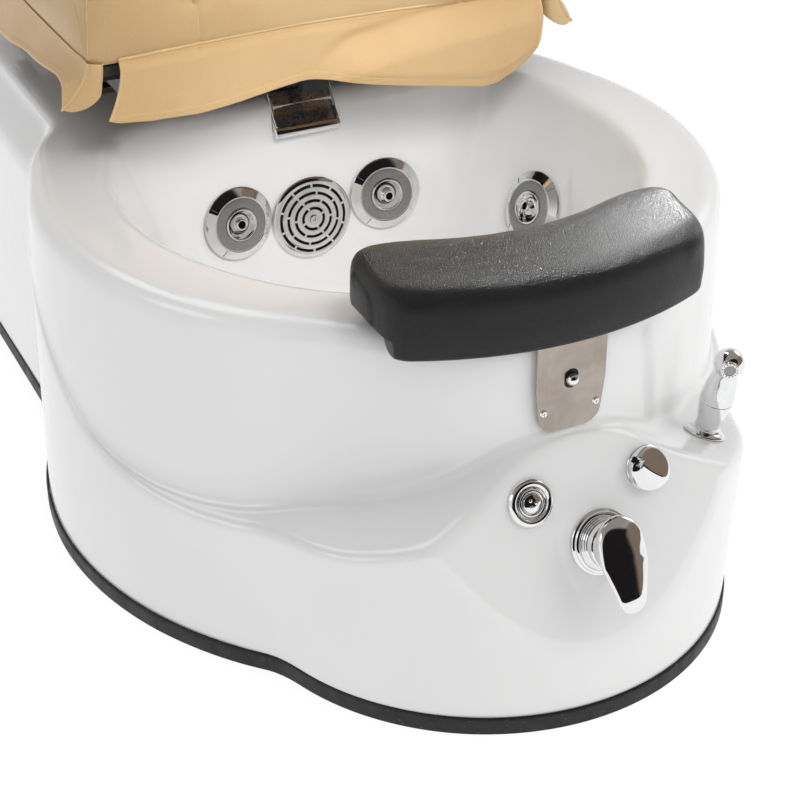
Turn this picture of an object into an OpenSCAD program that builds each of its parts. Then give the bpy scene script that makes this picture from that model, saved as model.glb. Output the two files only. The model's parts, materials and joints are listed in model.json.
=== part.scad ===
// Pedicure spa chair: one-piece acrylic foot-bath base with a jetted bowl, a
// sliding upholstered seat with a reclining back, and a lifting footrest.
// Millimetres. +Z up, the bather faces -Y. Origin on the floor under the bowl's centre.

/* [Shell] */
// Height of the bowl's rim above the floor
rim_z = 391; // [360:1:420]
// Depth of the bowl's floor above the ground
bowl_z = 112; // [90:1:160]
// Rear end of the moulded base, behind the bowl's centre
rear_y = 850; // [780:5:900]
// Half width of the rear body
rear_half = 325; // [300:1:350]
// Moulded skin thickness
skin_t = 5; // [4:0.5:8]
// Height of the rubber kick trim
trim_h = 20; // [15:1:30]

/* [Bath fittings] */
// Outer diameter of a jet's bezel
jet_d = 90; // [70:1:100]
// Diameter of the suction cover
suction_d = 103; // [80:1:110]
// Width of the waterfall spout
spout_w = 82; // [60:1:100]
// Diameter of the drain flange
drain_d = 70; // [55:1:80]

/* [Console] */
// Diameter of the air button's bezel
button_d = 48; // [40:1:56]
// Diameter of the diverter's knob
knob_d = 44; // [35:1:55]
// Diameter of the mixer's escutcheon
mixer_d = 67; // [55:1:80]
// Length of the mixer's lever blade
lever_l = 62; // [50:1:85]
// Diameter of the sprayer's dock flange
dock_d = 44; // [36:1:52]

/* [Footrest] */
// Radius of the footrest pad's front face about its own centre
pad_r = 366; // [345:1:380]
// Width of the pad from back to front
pad_w = 113; // [80:1:120]
// half of the footrest pad's width from end to end
pad_x = 174; // [140:1:185]
// Width of the stainless guide plate
plate_w = 75; // [60:1:90]

/* [Seat] */
// Width of the seat cushion
seat_w = 570; // [520:5:600]
// Height of the seat cushion's lower seam
seat_z = 503; // [480:1:520]
// Height of the seat cushion's top
seat_top = 634; // [600:1:660]
// Front of the seat cushion
seat_y = 96; // [80:1:120]
// Length of the backrest from its hinge
back_l = 760; // [700:5:820]
// Lean of the backrest from upright, at rest
back_lean = 14; // [5:1:25]
// Height of the armrests' tops
arm_top = 842; // [800:1:870]

/* [Hidden] */

hinge_y = 585;
hinge_z = 545;
arm_hinge_y = 560;
arm_hinge_z = 770;
face_el = 21.8;

white = [0.93, 0.93, 0.92];
chrome = [0.78, 0.79, 0.8];
steel = [0.62, 0.61, 0.59];
dark = [0.12, 0.12, 0.13];
tan = [0.86, 0.69, 0.43];
grey = [0.45, 0.46, 0.48];

// ---------- the moulded shell's outlines, as radii about the bowl's centre ----------
// p is the bearing in degrees, 0 straight ahead (-Y), positive towards +X
function smax(a, b, k) = let (h = max(k - abs(a - b), 0) / k) max(a, b) + h * h * k / 4;
function smin(a, b, k) = -smax(-a, -b, k);
function ell(p, a, b, yc) = let (s = sin(p), c = cos(p), A = s * s / (a * a) + c * c / (b * b), B = 2 * c * yc / (b * b), C = yc * yc / (b * b) - 1) (-B + sqrt(B * B - 4 * A * C)) / (2 * A);
function circ(p, yl, r) = let (c = cos(p), q = c * c * yl * yl - yl * yl + r * r) q < 0 ? 0 : -c * yl + sqrt(q);
function rbox(p, w, yr, n) = let (s = max(abs(sin(p)), 0.001), c = -cos(p), y = c > 0 ? yr : 60) pow(pow(s / w, n) + pow(abs(c) / y, n), -1 / n);
function flat(p, y) = y / max(-cos(p), 0.000001);
function ramp(a, b, x) = let (t = min(max((x - a) / (b - a), 0), 1)) t * t * (3 - 2 * t);
function bearing(p) = abs(((p + 540) % 360) - 180);
// height of the skirt's shoulder round the tub
shoulder = [[0, 279], [4, 277], [8, 268], [11, 254], [14, 238], [18, 221], [23, 206], [28, 194], [33, 188], [37, 183], [44, 172], [52, 167], [60, 168], [68, 175], [76, 190], [80, 205], [85, 225], [90, 246], [95, 268], [105, 306], [115, 332], [125, 336], [180, 336]];
// sloped console face: height = face_z0 + face_k * y
face_z0 = 1395.9;
face_k = 2.4995;

// corner points of the section at bearing p, each [radius, height, fillet]; t is the inset
function corners(p, t) = let (
    d = bearing(p), c = cos(p),
    F = smax(smax(ell(p, 392, 411, -20), circ(p, -261, 267), 14), rbox(p, rear_half, rear_y, 14), 24) - t,
    F2 = smax(smax(ell(p, 386, 405, -20), circ(p, -260, 266), 24), rbox(p, rear_half - 1, rear_y - 3, 14), 24) + 12 * exp(-pow((d - 33) / 13, 2)) - t,
    T = smax(smax(ell(p, 377, 385, -4), circ(p, -194, 236), 24), rbox(p, 288, rear_y - 40, 14), 16) - t,
    TV = smax(smax(ell(p, 381, 389, -4), circ(p, -195, 237), 24), rbox(p, 294, rear_y - 34, 14), 16) - t,
    zS = lookup(d, shoulder) - t,
    zR = rim_z - t,
    w = ramp(104, 124, d),
    zV = (zS + 4 + 3 * ramp(6, 20, d)) * (1 - w) + (rim_z - 16 - t) * w,
    off = t * sqrt(1 + face_k * face_k),
    zP = c > 0.3 ? face_z0 - face_k * F2 * c - off : 999,
    rP = c > 0.3 ? -((zS + off - face_z0) / face_k) / c : 9999,
    k1z = smin(zP, zS - 22, 16),
    k1r = F + (F2 - F) * min(max(k1z / zS, 0), 1),
    k2r = max(smin(F2, rP, 12), TV + 1.5),
    I = smin(ell(p, 290, 312, -4), flat(p, 193), 46) + t,
    B = smin(ell(p, 188, 186, -4), flat(p, 166), 30) + t)
    [[F, 2, 0], [k1r, k1z, 14], [k2r, zS, 18], [TV, zV, 16], [T, zR, 27], [I, zR, 14 + 10 * ramp(120, 150, d)], [B, bowl_z - t, 60], [0, bowl_z - 4 - t, 0]];

function mix(a, b, u) = [a[0] * (1 - u) + b[0] * u, a[1] * (1 - u) + b[1] * u];
function away(b, a, d) = let (l = norm([a[0] - b[0], a[1] - b[1]])) mix(b, a, min(d, l * 0.49) / max(l, 0.001));
// the section as a polyline: fillets of n steps, straight runs of s[i] steps
function section(C, n, s) = let (m = len(C)) concat(
    [mix(C[0], C[0], 0)],
    [for (i = [1:m - 2]) let (
        S = away(C[i], C[i - 1], C[i][2]), E = away(C[i], C[i + 1], C[i][2]),
        L = i == 1 ? C[0] : away(C[i - 1], C[i], C[i - 1][2]))
        each concat([for (j = [1:s[i - 1]]) mix(L, S, j / (s[i - 1] + 1))],
                    [for (j = [0:n]) let (u = j / n) mix(mix(S, C[i], u), mix(C[i], E, u), u)])],
    [for (j = [1:s[m - 2]]) mix(away(C[m - 2], C[m - 1], C[m - 2][2]), C[m - 1], j / (s[m - 2] + 1))]);

bearings = [for (p = [0:4:40]) p, 44, 50, 57, 64, 71, 78, 85, 92, 98, 104, 109, 114, 119, 124, 129, 133, 137, 141, 145, 149, 152, 154.5, 157, 159.5, 162, 166, 170, 175, 180];
all_bearings = concat(bearings, [for (i = [len(bearings) - 2:-1:1]) 360 - bearings[i]]);

module shell_solid() {
    n = len(all_bearings);
    outer = [for (p = all_bearings) section(corners(p, 0), 3, [2, 0, 0, 1, 1, 2, 2])];
    inner = [for (p = all_bearings) section(corners(p, skin_t), 1, [1, 0, 0, 1, 1, 1, 1])];
    mo = len(outer[0]);
    mi = len(inner[0]);
    po = [for (i = [0:n - 1]) for (q = outer[i]) [q[0] * sin(all_bearings[i]), -q[0] * cos(all_bearings[i]), q[1]]];
    pi_ = [for (i = [0:n - 1]) for (q = inner[i]) [q[0] * sin(all_bearings[i]), -q[0] * cos(all_bearings[i]), q[1]]];
    b = n * mo;
    co = [[0, 0, bowl_z - 4]];
    ci = [[0, 0, bowl_z - 4 - skin_t]];
    a = b + n * mi;
    polyhedron(points = concat(po, pi_, co, ci), faces = concat(
        [for (i = [0:n - 1]) let (k = (i + 1) % n) for (j = [0:mo - 2]) each [[i * mo + j, i * mo + j + 1, k * mo + j], [k * mo + j, i * mo + j + 1, k * mo + j + 1]]],
        [for (i = [0:n - 1]) let (k = (i + 1) % n) [i * mo + mo - 1, a, k * mo + mo - 1]],
        [for (i = [0:n - 1]) let (k = (i + 1) % n) for (j = [0:mi - 2]) each [[b + i * mi + j, b + k * mi + j, b + i * mi + j + 1], [b + k * mi + j, b + k * mi + j + 1, b + i * mi + j + 1]]],
        [for (i = [0:n - 1]) let (k = (i + 1) % n) [b + i * mi + mi - 1, b + k * mi + mi - 1, a + 1]],
        [for (i = [0:n - 1]) let (k = (i + 1) % n) each [[i * mo, k * mo, b + i * mi], [k * mo, b + k * mi, b + i * mi]]]));
}

// lay a fitting's +Z along the outward normal at p
module at(p, az, el) { translate(p) rotate([0, 90 - el, az]) children(); }
jets = [[[-96.8, 173.5, 254.4], -83.6, 7.8], [[96.8, 173.5, 254.4], -96.4, 7.8], [[235, 45.7, 258.8], 191, 20.3], [[-235, 45.7, 258.8], -11, 20.3]];
suction_p = [0, 177.8, 240];
button_p = [-56, -465, 233.6];
knob_p = [72.8, -463.8, 236.6];
mixer_p = [12, -486, 181.2];
dock_p = [188, -396, 200];
// seat and normal of the sprayer dock's flange
dock_seat = [189.3, -395.7, 203.6];
dock_az = 11.6;
dock_el = 70.6;

module spout_profile(g) {
    offset(delta = g) polygon([[216, 392], [212, 396], [206, 396], [190, 372], [177, 359], [175, 354], [177, 349], [182, 348], [188, 353], [203, 372], [212, 384], [216, 386]]);
}
module along_x(w) { rotate([90, 0, 90]) translate([0, 0, -w / 2]) linear_extrude(w) children(); }

// plan line on the flat of the rim where the bowl meets the outer moulding
module rim_line(g) { polygon([for (p = all_bearings) let (r = corners(p, 0)[5][0] + 27 + g) [r * sin(p), -r * cos(p)]]); }
module base_shell() color(white) resize([0, 0, 0]) difference() {
    shell_solid();
    translate([0, 0, 60]) linear_extrude(400) rim_line(0.05);
    at(button_p, -90, face_el) translate([0, 0, -20]) cylinder(d = 34, h = 40, $fn = 36);
    at(knob_p, -90, face_el) translate([0, 0, -20]) cylinder(d = 34, h = 40, $fn = 36);
    at(mixer_p, -90, face_el) translate([0, 0, -20]) cylinder(d = 40, h = 40, $fn = 36);
    translate([dock_p[0], dock_p[1], dock_p[2] - 20]) cylinder(d = 32.4, h = 40, $fn = 36);
    translate([0, -425, 341]) rotate([90, 0, 0]) cylinder(d = 22, h = 40, center = true, $fn = 32);
    translate([-150, rear_y - 20, 60]) cube([300, 60, 220]);
    translate([240, rear_y - 60, 90]) rotate([-90, 0, 0]) linear_extrude(80) square([28, 22], center = true);
}
// the bowl, its jets' flat seats and the inner half of the rim
module foot_bowl() color(white) resize([0, 0, 0]) difference() {
    union() {
        intersection() {
            shell_solid();
            translate([0, 0, 60]) linear_extrude(400) rim_line(-0.05);
        }
        for (j = jets) at(j[0], j[1], j[2]) translate([0, 0, -8]) cylinder(d = 89, h = 8, $fn = 48);
    }
    for (j = jets) at(j[0], j[1], j[2]) { translate([0, 0, -25]) cylinder(d = 62, h = 50, $fn = 40); cylinder(d = 92, h = 12, $fn = 48); }
    at(suction_p, -90, 5.5) translate([0, 0, -25]) cylinder(d = 80, h = 50, $fn = 40);
    along_x(spout_w + 1) spout_profile(0.5);
    translate([0, 0, bowl_z - 25]) cylinder(d = 48, h = 50, $fn = 40);
}

// a plan outline from the floor-edge function, grown by g
// and swelled a little where the skirt leans out beside the console
function outline(g) = [for (p = all_bearings) let (r = 12.6 * exp(-pow((bearing(p) - 33) / 13, 2)) * trim_h / 170 + smax(smax(ell(p, 392, 411, -20), circ(p, -261, 267), 14), rbox(p, rear_half, rear_y, 14), 24) + g) [r * sin(p), -r * cos(p)]];
module kick_trim() color(dark) difference() {
    linear_extrude(trim_h) polygon(outline(3));
    translate([0, 0, -1]) linear_extrude(trim_h + 2) polygon(outline(0.2));
}

module tube(x0, x1, y0, y1, z0, z1) { translate([x0, y0, z0]) cube([x1 - x0, y1 - y0, z1 - z0]); }
module base_frame() color(grey) difference() {
    union() {
        for (s = [-1, 1]) {
            tube(s * 215 - 15, s * 215 + 15, 215, 745, 355, 385);
            tube(s * 215 - 15, s * 215 + 15, 215, 745, 30, 60);
            for (y = [215, 480, 715]) tube(s * 215 - 15, s * 215 + 15, y, y + 30, 30, 385);
            // shelves for the pump and the control box
            for (y = [400, 480]) tube(s * 125 - 90, s * 125 + 90, y, y + 30, 30, 60);
        }
        for (y = [250, 715]) tube(-215, 215, y, y + 30, 355, 385);
        tube(-215, 215, 715, 745, 30, 60);
    }
    for (x = [-215, 215]) for (y = [230, 730]) translate([x, y, 20]) cylinder(d = 10.4, h = 30);
}
module levelling_feet() color(dark) for (x = [-215, 215]) for (y = [230, 730]) translate([x, y, 0]) {
    cylinder(d1 = 46, d2 = 40, h = 12);
    cylinder(d = 10, h = 48);
}
module rear_access_panel() color(white) difference() {
    translate([-165, rear_y + 0.2, 45]) cube([330, 2.8, 250]);
    for (k = [0:4]) translate([-90, rear_y - 5, 160 + 22 * k]) cube([180, 12, 7]);
    translate([-40, rear_y - 5, 98]) rotate([-90, 0, 0]) cylinder(d = 48, h = 12);
    for (x = [-156, 156]) for (z = [55, 285]) translate([x, rear_y - 5, z]) rotate([-90, 0, 0]) cylinder(d = 4.6, h = 12);
}
// four screws in the access panel and two in the guide plate
module fixing_screws() color(chrome) {
    for (x = [-156, 156]) for (z = [55, 285]) translate([x, rear_y + 3.1, z]) rotate([-90, 0, 0]) cross_screw(9, 6.5, 2.4, 14, 4);
    for (s = [-1, 1]) translate([s * 28.5, -436.8, 309]) rotate([90, 0, 0]) cross_screw(8.4, 6, 1.6, 13, 4);
}
module cross_screw(d1, d2, h, l, d) difference() {
    union() { cylinder(d1 = d1, d2 = d2, h = h); translate([0, 0, -l]) cylinder(d = d, h = l + 0.2); }
    for (a = [0, 90]) rotate(a) translate([-2.2, -0.4, h - 1]) cube([4.4, 0.8, 3]);
}

// ---------- bath fittings ----------
module jet_bezels() color(chrome) for (j = jets) at(j[0], j[1], j[2]) rotate_extrude()
    polygon([[22, 3.5], [27, 9], [30, 10.6], [36, 9.2], [41, 6.4], [jet_d / 2 - 0.4, 4], [jet_d / 2, 3], [jet_d / 2 - 0.6, 2.4], [25.8, 2.4], [25.8, -30], [24, -30], [24, -2], [22, 0]]);
module jet_nozzles() color(chrome) for (j = jets) at(j[0], j[1], j[2]) rotate_extrude()
    polygon([[4.2, -14], [4.2, 12.5], [6, 13.4], [8.2, 12.6], [9, 10.5], [9, 7.5], [14, 6], [18, 4.4], [21.5, 2.6], [21.5, -5.5], [12, -8], [12, -14]]);
module jet_housings() color(grey) for (j = jets) at(j[0], j[1], j[2]) difference() {
    union() {
        translate([0, 0, -48]) cylinder(d = 60, h = 49.8);
        translate([0, 0, -22]) cylinder(d = 76, h = 7);
        translate([0, 0, -35]) rotate([0, 90, 0]) cylinder(d = 30, h = 52);
    }
    translate([0, 0, -42]) cylinder(d = 52, h = 60);
    translate([0, 0, -35]) rotate([0, 90, 0]) cylinder(d = 24, h = 60);
}
module suction_cover() color(chrome) at(suction_p, -90, 5.5) difference() {
    rotate_extrude() polygon([[3.2, 6], [3.2, 8.6], [30, 8], [45, 6.4], [50, 4.4], [suction_d / 2, 2.8], [suction_d / 2, 2], [48, 2.2], [44, 4], [30, 5.6]]);
    for (g = [[13.4, 4], [22.8, 6], [32.2, 8], [41.2, 10]]) for (k = [0:g[1] - 1]) rotate([0, 0, (k + g[0] / 40) * 360 / g[1]]) rotate_extrude(angle = 360 / g[1] - 180 / g[0]) translate([g[0] - 1.6, 0]) square([3.2, 12]);
}
module suction_screw() color(chrome) at(suction_p, -90, 5.5) difference() {
    union() { translate([0, 0, 8.7]) cylinder(d1 = 8.5, d2 = 6, h = 2); translate([0, 0, -12]) cylinder(d = 5, h = 20.8); }
    for (a = [0, 90]) rotate(a) translate([-2.2, -0.4, 9.7]) cube([4.4, 0.8, 3]);
}
module suction_housing() color(grey) at(suction_p, -90, 5.5) difference() {
    union() {
        translate([0, 0, -50]) cylinder(d = 78, h = 52);
        translate([0, 0, -22]) cylinder(d = 98, h = 7);
        translate([0, 0, -32]) rotate([0, 90, 0]) cylinder(d = 40, h = 60);
    }
    difference() {
        translate([0, 0, -45]) cylinder(d = 70, h = 60);
        translate([0, 0, -45]) cylinder(d = 12, h = 44);
    }
    translate([0, 0, -14]) cylinder(d = 5.02, h = 40);
    translate([0, 0, -32]) rotate([0, 90, 0]) cylinder(d = 34, h = 70);
}
module waterfall_spout() color(chrome) difference() {
    along_x(spout_w) spout_profile(0);
    along_x(spout_w - 8) polygon([[220, 390.5], [213, 390.5], [192, 368], [178, 354], [170, 350], [170, 352.5], [181, 352], [188, 356.5], [204, 376], [212, 387.5], [220, 387.5]]);
}
module waterfall_feed() color(grey) difference() {
    union() {
        translate([-30, 216.2, 352]) cube([60, 33, 28]);
        translate([0, 240, 120]) cylinder(d = 16, h = 234);
    }
    translate([-27, 214, 356]) cube([54, 32, 20]);
    translate([0, 240, 110]) cylinder(d = 11, h = 250);
}
module drain_flange() color(chrome) translate([0, 0, bowl_z - 4]) rotate_extrude()
    polygon([[18, -28.5], [18, 2.7], [20.6, 2.7], [20.6, 4.4], [28, 5.4], [drain_d / 2 - 1.5, 4.6], [drain_d / 2, 3], [drain_d / 2 - 1, 2.2], [23.4, 1.2], [23.4, -28.5]]);
module drain_plug() color(chrome) translate([0, 0, bowl_z - 4]) {
    rotate_extrude() polygon([[0, 3.1], [19.8, 3.1], [20.1, 5], [17, 8.4], [8, 10], [0, 10.2]]);
    translate([0, 0, -24]) cylinder(d = 6, h = 28);
}
module drain_pipe() color(grey) {
    difference() {
        union() {
            translate([0, 0, 46]) cylinder(d = 50, h = 33);
            translate([0, 0, 58]) rotate([-90, 0, 0]) cylinder(d = 40, h = 560);
        }
        translate([0, 0, 58]) rotate([-90, 0, 0]) cylinder(d = 34, h = 570);
        translate([0, 0, 52]) cylinder(d = 38, h = 60);
    }
}
module drain_pump() color(dark) difference() {
    union() {
        translate([0, 565, 58]) rotate([-90, 0, 0]) cylinder(d = 96, h = 40);
        translate([0, 604, 58]) rotate([-90, 0, 0]) cylinder(d = 74, h = 90);
        translate([-40, 580, 98]) rotate([-90, 0, 0]) cylinder(d = 29, h = 224);
        translate([-40, 803, 98]) rotate([-90, 0, 0]) cylinder(d = 34, h = 7);
        translate([-40, 806, 98]) rotate([-90, 0, 0]) cylinder(d = 25, h = 44);
    }
    translate([0, 560, 58]) rotate([-90, 0, 0]) cylinder(d = 34, h = 24);
    translate([-40, 800, 98]) rotate([-90, 0, 0]) cylinder(d = 19, h = 60);
}
module jet_pump() color(dark) {
    translate([-95, 330, 134]) rotate([-90, 0, 0]) cylinder(d = 120, h = 46);
    translate([-95, 376, 134]) rotate([-90, 0, 0]) difference() {
        cylinder(d = 100, h = 150);
        for (k = [0:17]) rotate(k * 20) translate([48, -1.5, 12]) cube([6, 3, 120]);
    }
    translate([-145, 400, 60.3]) cube([100, 110, 28]);
    translate([-95, 353, 185]) cylinder(d = 40, h = 40);
}
module jet_pipework() color([0.86, 0.86, 0.84]) difference() {
    union() {
        translate([-95, 353, 225.4]) cylinder(d = 34, h = 45);
        translate([-200, 353, 262]) rotate([0, 90, 0]) cylinder(d = 34, h = 400);
        for (x = [-200, 200]) translate([x, 353, 262]) sphere(d = 34);
        for (x = [-140, 140]) translate([x, 262, 262]) rotate([-90, 0, 0]) cylinder(d = 28, h = 91);
    }
    translate([-190, 353, 262]) rotate([0, 90, 0]) cylinder(d = 26, h = 380);
}

// ---------- console ----------
module mixer_escutcheon() color(chrome) at(mixer_p, -90, face_el) rotate_extrude()
    polygon([[21, 1], [mixer_d / 2 - 0.6, 1], [mixer_d / 2, 1.8], [mixer_d / 2 - 0.6, 3.4], [30, 4.6], [28.6, 5], [28, 7], [25, 7.8], [21, 7.8]]);
module mixer_valve_body() color(grey) at(mixer_p, -90, face_el) difference() {
    union() {
        translate([0, 0, -52]) cylinder(d = 38, h = 58);
        translate([0, 0, -18]) cylinder(d = 54, h = 5);
        for (s = [-1, 1]) translate([0, 0, -40]) rotate([0, 90, 0]) rotate([s * 90, 0, 0]) cylinder(d = 20.95, h = 60);
        translate([0, 0, -40]) rotate([0, 90, 0]) cylinder(d = 21, h = 40);
    }
    for (s = [-1, 1]) translate([0, 0, -40]) rotate([0, 90, 0]) rotate([s * 90, 0, 0]) translate([0, 0, 12]) cylinder(d = 14, h = 60);
    translate([0, 0, -14]) cylinder(d = 26, h = 40);
}
module mixer_collar() color(chrome) at(mixer_p, -90, face_el) difference() {
    union() {
        translate([0, 0, 8.2]) cylinder(d1 = 47, d2 = 45, h = 12);
        translate([0, 0, 20.2]) cylinder(d1 = 45, d2 = 40, h = 3);
        translate([0, 0, -12]) cylinder(d = 25.9, h = 21);
        difference() {
            translate([0, 0, 20]) cylinder(d = 34, h = 16);
            translate([-30, -9, 21]) cube([60, 18, 30]);
        }
    }
    translate([0, -20, 30]) rotate([-90, 0, 0]) cylinder(d = 6.1, h = 40);
}
// the lever: a domed cap that hangs over the collar and a broad spoon blade below it
module mixer_lever() color(chrome) at(mixer_p, -90, face_el) difference() {
    union() {
        hull() {
            translate([0, 0, 24]) cylinder(d = 47, h = 1, $fn = 32);
            translate([-6, 0, 37]) scale([1.04, 1, 0.4]) sphere(d = 48, $fn = 28);
        }
        hull() {
            translate([-4, 0, 39]) scale([1, 1, 0.3]) sphere(d = 49, $fn = 24);
            translate([16, 0, 43]) scale([1, 1, 0.16]) sphere(d = 48, $fn = 24);
        }
        hull() {
            translate([16, 0, 43]) scale([1, 1, 0.16]) sphere(d = 48, $fn = 24);
            translate([lever_l - 13, 0, 41]) scale([1, 1, 0.18]) sphere(d = 26, $fn = 24);
        }
    }
    translate([0, 0, 8]) cylinder(d = 37.4, h = 29.5);
    translate([-40, -40, 0]) cube([80, 80, 24.5]);
    translate([0, 0, 24.5]) rotate([0, 13, 0]) translate([-60, -40, -30]) cube([60, 80, 30]);
}
module air_button_bezel() color(chrome) at(button_p, -90, face_el) rotate_extrude()
    polygon([[14.2, -16], [14.2, 2.4], [16, 3.4], [17.2, 5.6], [19.5, 6.2], [22.4, 4.6], [button_d / 2, 2.4], [button_d / 2, 0.8], [16.8, 0.8], [16.8, -16]]);
module air_button() color(chrome) at(button_p, -90, face_el) rotate_extrude()
    polygon([[0, -13], [5, -13], [5, -3], [14.1, -3], [14.1, 4.2], [12.8, 5], [10.8, 5], [10.2, 4.2], [9.6, 4.2], [7, 5.4], [0, 6]]);
module air_switch_body() color(dark) at(button_p, -90, face_el) difference() {
    union() {
        translate([0, 0, -46]) cylinder(d = 38, h = 28);
        translate([0, 0, -66]) cylinder(d = 7, h = 21);
        translate([0, 0, -13.5 - 5]) cylinder(d = 32, h = 2.4);
    }
    translate([0, 0, -40]) cylinder(d = 30, h = 30);
}
module diverter_bezel() color(chrome) at(knob_p, -90, face_el) rotate_extrude()
    polygon([[9, 0.4], [knob_d / 2 + 0.4, 0.4], [knob_d / 2 + 0.4, 2.2], [knob_d / 2 - 0.6, 3.4], [9, 3.4]]);
module diverter_knob() color(chrome) at(knob_p, -90, face_el) difference() {
    union() {
        rotate_extrude() polygon([[0, 3.8], [knob_d / 2 - 1.4, 3.8], [knob_d / 2 - 0.4, 5.2], [knob_d / 2 - 1, 8], [17, 12], [10, 14.4], [0, 15.4]]);
        translate([0, 0, -12]) cylinder(d = 10, h = 16);
    }
    rotate(-35) translate([-3.2, 15, 2]) cube([6.4, 12, 20]);
    rotate(-35) translate([4, -26, 15.4]) rotate([0, 70, 0]) translate([-8, 0, 0]) cube([8, 52, 10]);
}
module diverter_valve_body() color(grey) at(knob_p, -90, face_el) difference() {
    union() {
        translate([0, 0, -46]) cylinder(d = 33, h = 46.2);
        for (s = [-1, 1]) translate([0, 0, -34]) rotate([s * 90, 0, 0]) cylinder(d = 18, h = 30);
    }
    for (s = [-1, 1]) translate([0, 0, -34]) rotate([s * 90, 0, 0]) translate([0, 0, 10]) cylinder(d = 12, h = 30);
    translate([0, 0, -13]) cylinder(d = 10.1, h = 30);
}

// ---------- pull-out sprayer ----------
spray_az = -67.8;
spray_el = 77.1;
module spray_at() { at(dock_p, spray_az, spray_el) children(); }
module sprayer_dock() color(chrome) difference() {
    union() {
        at(dock_seat, dock_az, dock_el) rotate_extrude() polygon([[0, 0.75], [dock_d / 2, 0.75], [dock_d / 2, 2], [dock_d / 2 - 1.2, 3.4], [18, 4.6], [15, 7], [0, 7]]);
        spray_at() translate([0, 0, 5]) cylinder(d = 27, h = 9);
        spray_at() translate([0, 0, -32]) cylinder(d = 22.6, h = 34);
    }
    spray_at() translate([0, 0, -60]) cylinder(d = 20.1, h = 90);
    spray_at() translate([0, 0, 14.05]) cylinder(d = 70, h = 20);
}
module sprayer_handle() color(chrome) spray_at() {
    translate([0, 0, -8]) cylinder(d = 19.2, h = 23);
    translate([0, 0, 14.5]) cylinder(d1 = 27.6, d2 = 26, h = 4);
    translate([0, 0, 18.4]) cylinder(d1 = 25, d2 = 33, h = 30);
    translate([0, 0, 48.3]) cylinder(d1 = 33, d2 = 31, h = 16);
    translate([0, 0, 64.2]) cylinder(d1 = 29.6, d2 = 23, h = 24);
}
// the ball head with a ring of nozzles round its face
ball_c = [196.3, -416.3, 296.1];
module sprayer_head() color(chrome) difference() {
    union() {
        translate(ball_c) sphere(d = 31);
        at(ball_c, -121.7, -4) cylinder(d1 = 24, d2 = 20, h = 17);
    }
    spray_at() translate([0, 0, 64]) cylinder(d = 40, h = 24.8);
    at(ball_c, -121.7, -4) for (k = [0:11]) rotate(k * 30) translate([7.6, 0, 14]) cylinder(d = 1.5, h = 6);
    at(ball_c, -121.7, -4) translate([0, 0, 15.6]) cylinder(d = 11.5, h = 3);
}
module sprayer_hose() color(steel) spray_at() translate([0, 0, -165]) cylinder(d = 13, h = 156.9);

// ---------- footrest ----------
pad_c = [0, -82];
// the pad sits turned a little on its bracket
pad_turn = -0.83;
module ring_sector(r0, r1, a) {
    polygon(concat([for (k = [0:16]) let (t = -a + 2 * a * k / 16) [r1 * sin(t), -r1 * cos(t)]], [for (k = [16:-1:0]) let (t = -a + 2 * a * k / 16) [r0 * sin(t), -r0 * cos(t)]]));
}
// section of the pad, as [inset from the front face, height]
pad_section = [[0, 392], [0.6, 386], [4, 384], [14, 384], [20, 388], [22, 400], [28, 403], [pad_w - 16, 403], [pad_w - 6, 406], [pad_w, 416], [pad_w, 440], [pad_w - 4, 454], [pad_w - 18, 461], [66, 460], [38, 457], [18, 453], [6, 445], [1, 434]];
module pad_solid() translate([0, pad_c[1], 0]) rotate(pad_turn) {
    // the back corners are well rounded, the front ones less, and the top drops a little at each end
    e_in = [[0, 1], [0.6, 1], [0.7, 0.93], [0.78, 0.84], [0.86, 0.7], [0.92, 0.53], [0.96, 0.38], [1, 0.15]];
    e_out = [[0, 1], [0.9, 1], [0.93, 0.97], [0.965, 0.9], [1, 0.64]];
    e_z = [[0, 1], [0.88, 1], [0.94, 0.95], [0.97, 0.86], [1, 0.55]];
    half = [0.14, 0.28, 0.42, 0.54, 0.64, 0.72, 0.79, 0.85, 0.9, 0.94, 0.97, 0.99, 1];
    us = concat([for (k = [len(half) - 1:-1:0]) -half[k]], [0], half);
    n = len(us) - 1;
    m = len(pad_section);
    c = pad_w * 0.45;
    pts = [for (u = us) let (v = abs(u), ei = lookup(v, e_in), eo = lookup(v, e_out), ez = lookup(v, e_z)) for (q = pad_section) let (
        d = c + (q[0] - c) * (q[0] > c ? ei : eo), r = pad_r - d, t = asin(pad_x * u / r), z = 424 + (q[1] - 424) * ez) [r * sin(t), -r * cos(t), z]];
    polyhedron(points = pts, faces = concat(
        [for (i = [0:n - 1]) for (j = [0:m - 1]) let (k = (j + 1) % m) each [[i * m + j, (i + 1) * m + j, i * m + k], [(i + 1) * m + j, (i + 1) * m + k, i * m + k]]],
        [[for (j = [0:m - 1]) j]], [[for (j = [m - 1:-1:0]) n * m + j]]));
}
module footrest_cushion() color(dark) resize([0, 0, 0]) difference() {
    pad_solid();
    translate([-26, -435, 380]) cube([52, 70, 26]);
}
module footrest_board() color(steel) translate([0, pad_c[1], 395.2]) linear_extrude(7.4) ring_sector(pad_r - pad_w + 19, pad_r - 30, 22);
module footrest_tongue() color(steel) difference() {
    union() {
        translate([-24, -434.4, 318]) cube([48, 2.4, 79.4]);
        translate([-24, -434.4, 391.8]) cube([48, 60, 3.2]);
    }
    translate([-4.6, -440, 341]) rotate([-90, 0, 0]) linear_extrude(20) translate([4.6, 0]) circle(d = 9.2);
    translate([-4.6, -440, 310]) cube([9.2, 20, 31]);
}
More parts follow.
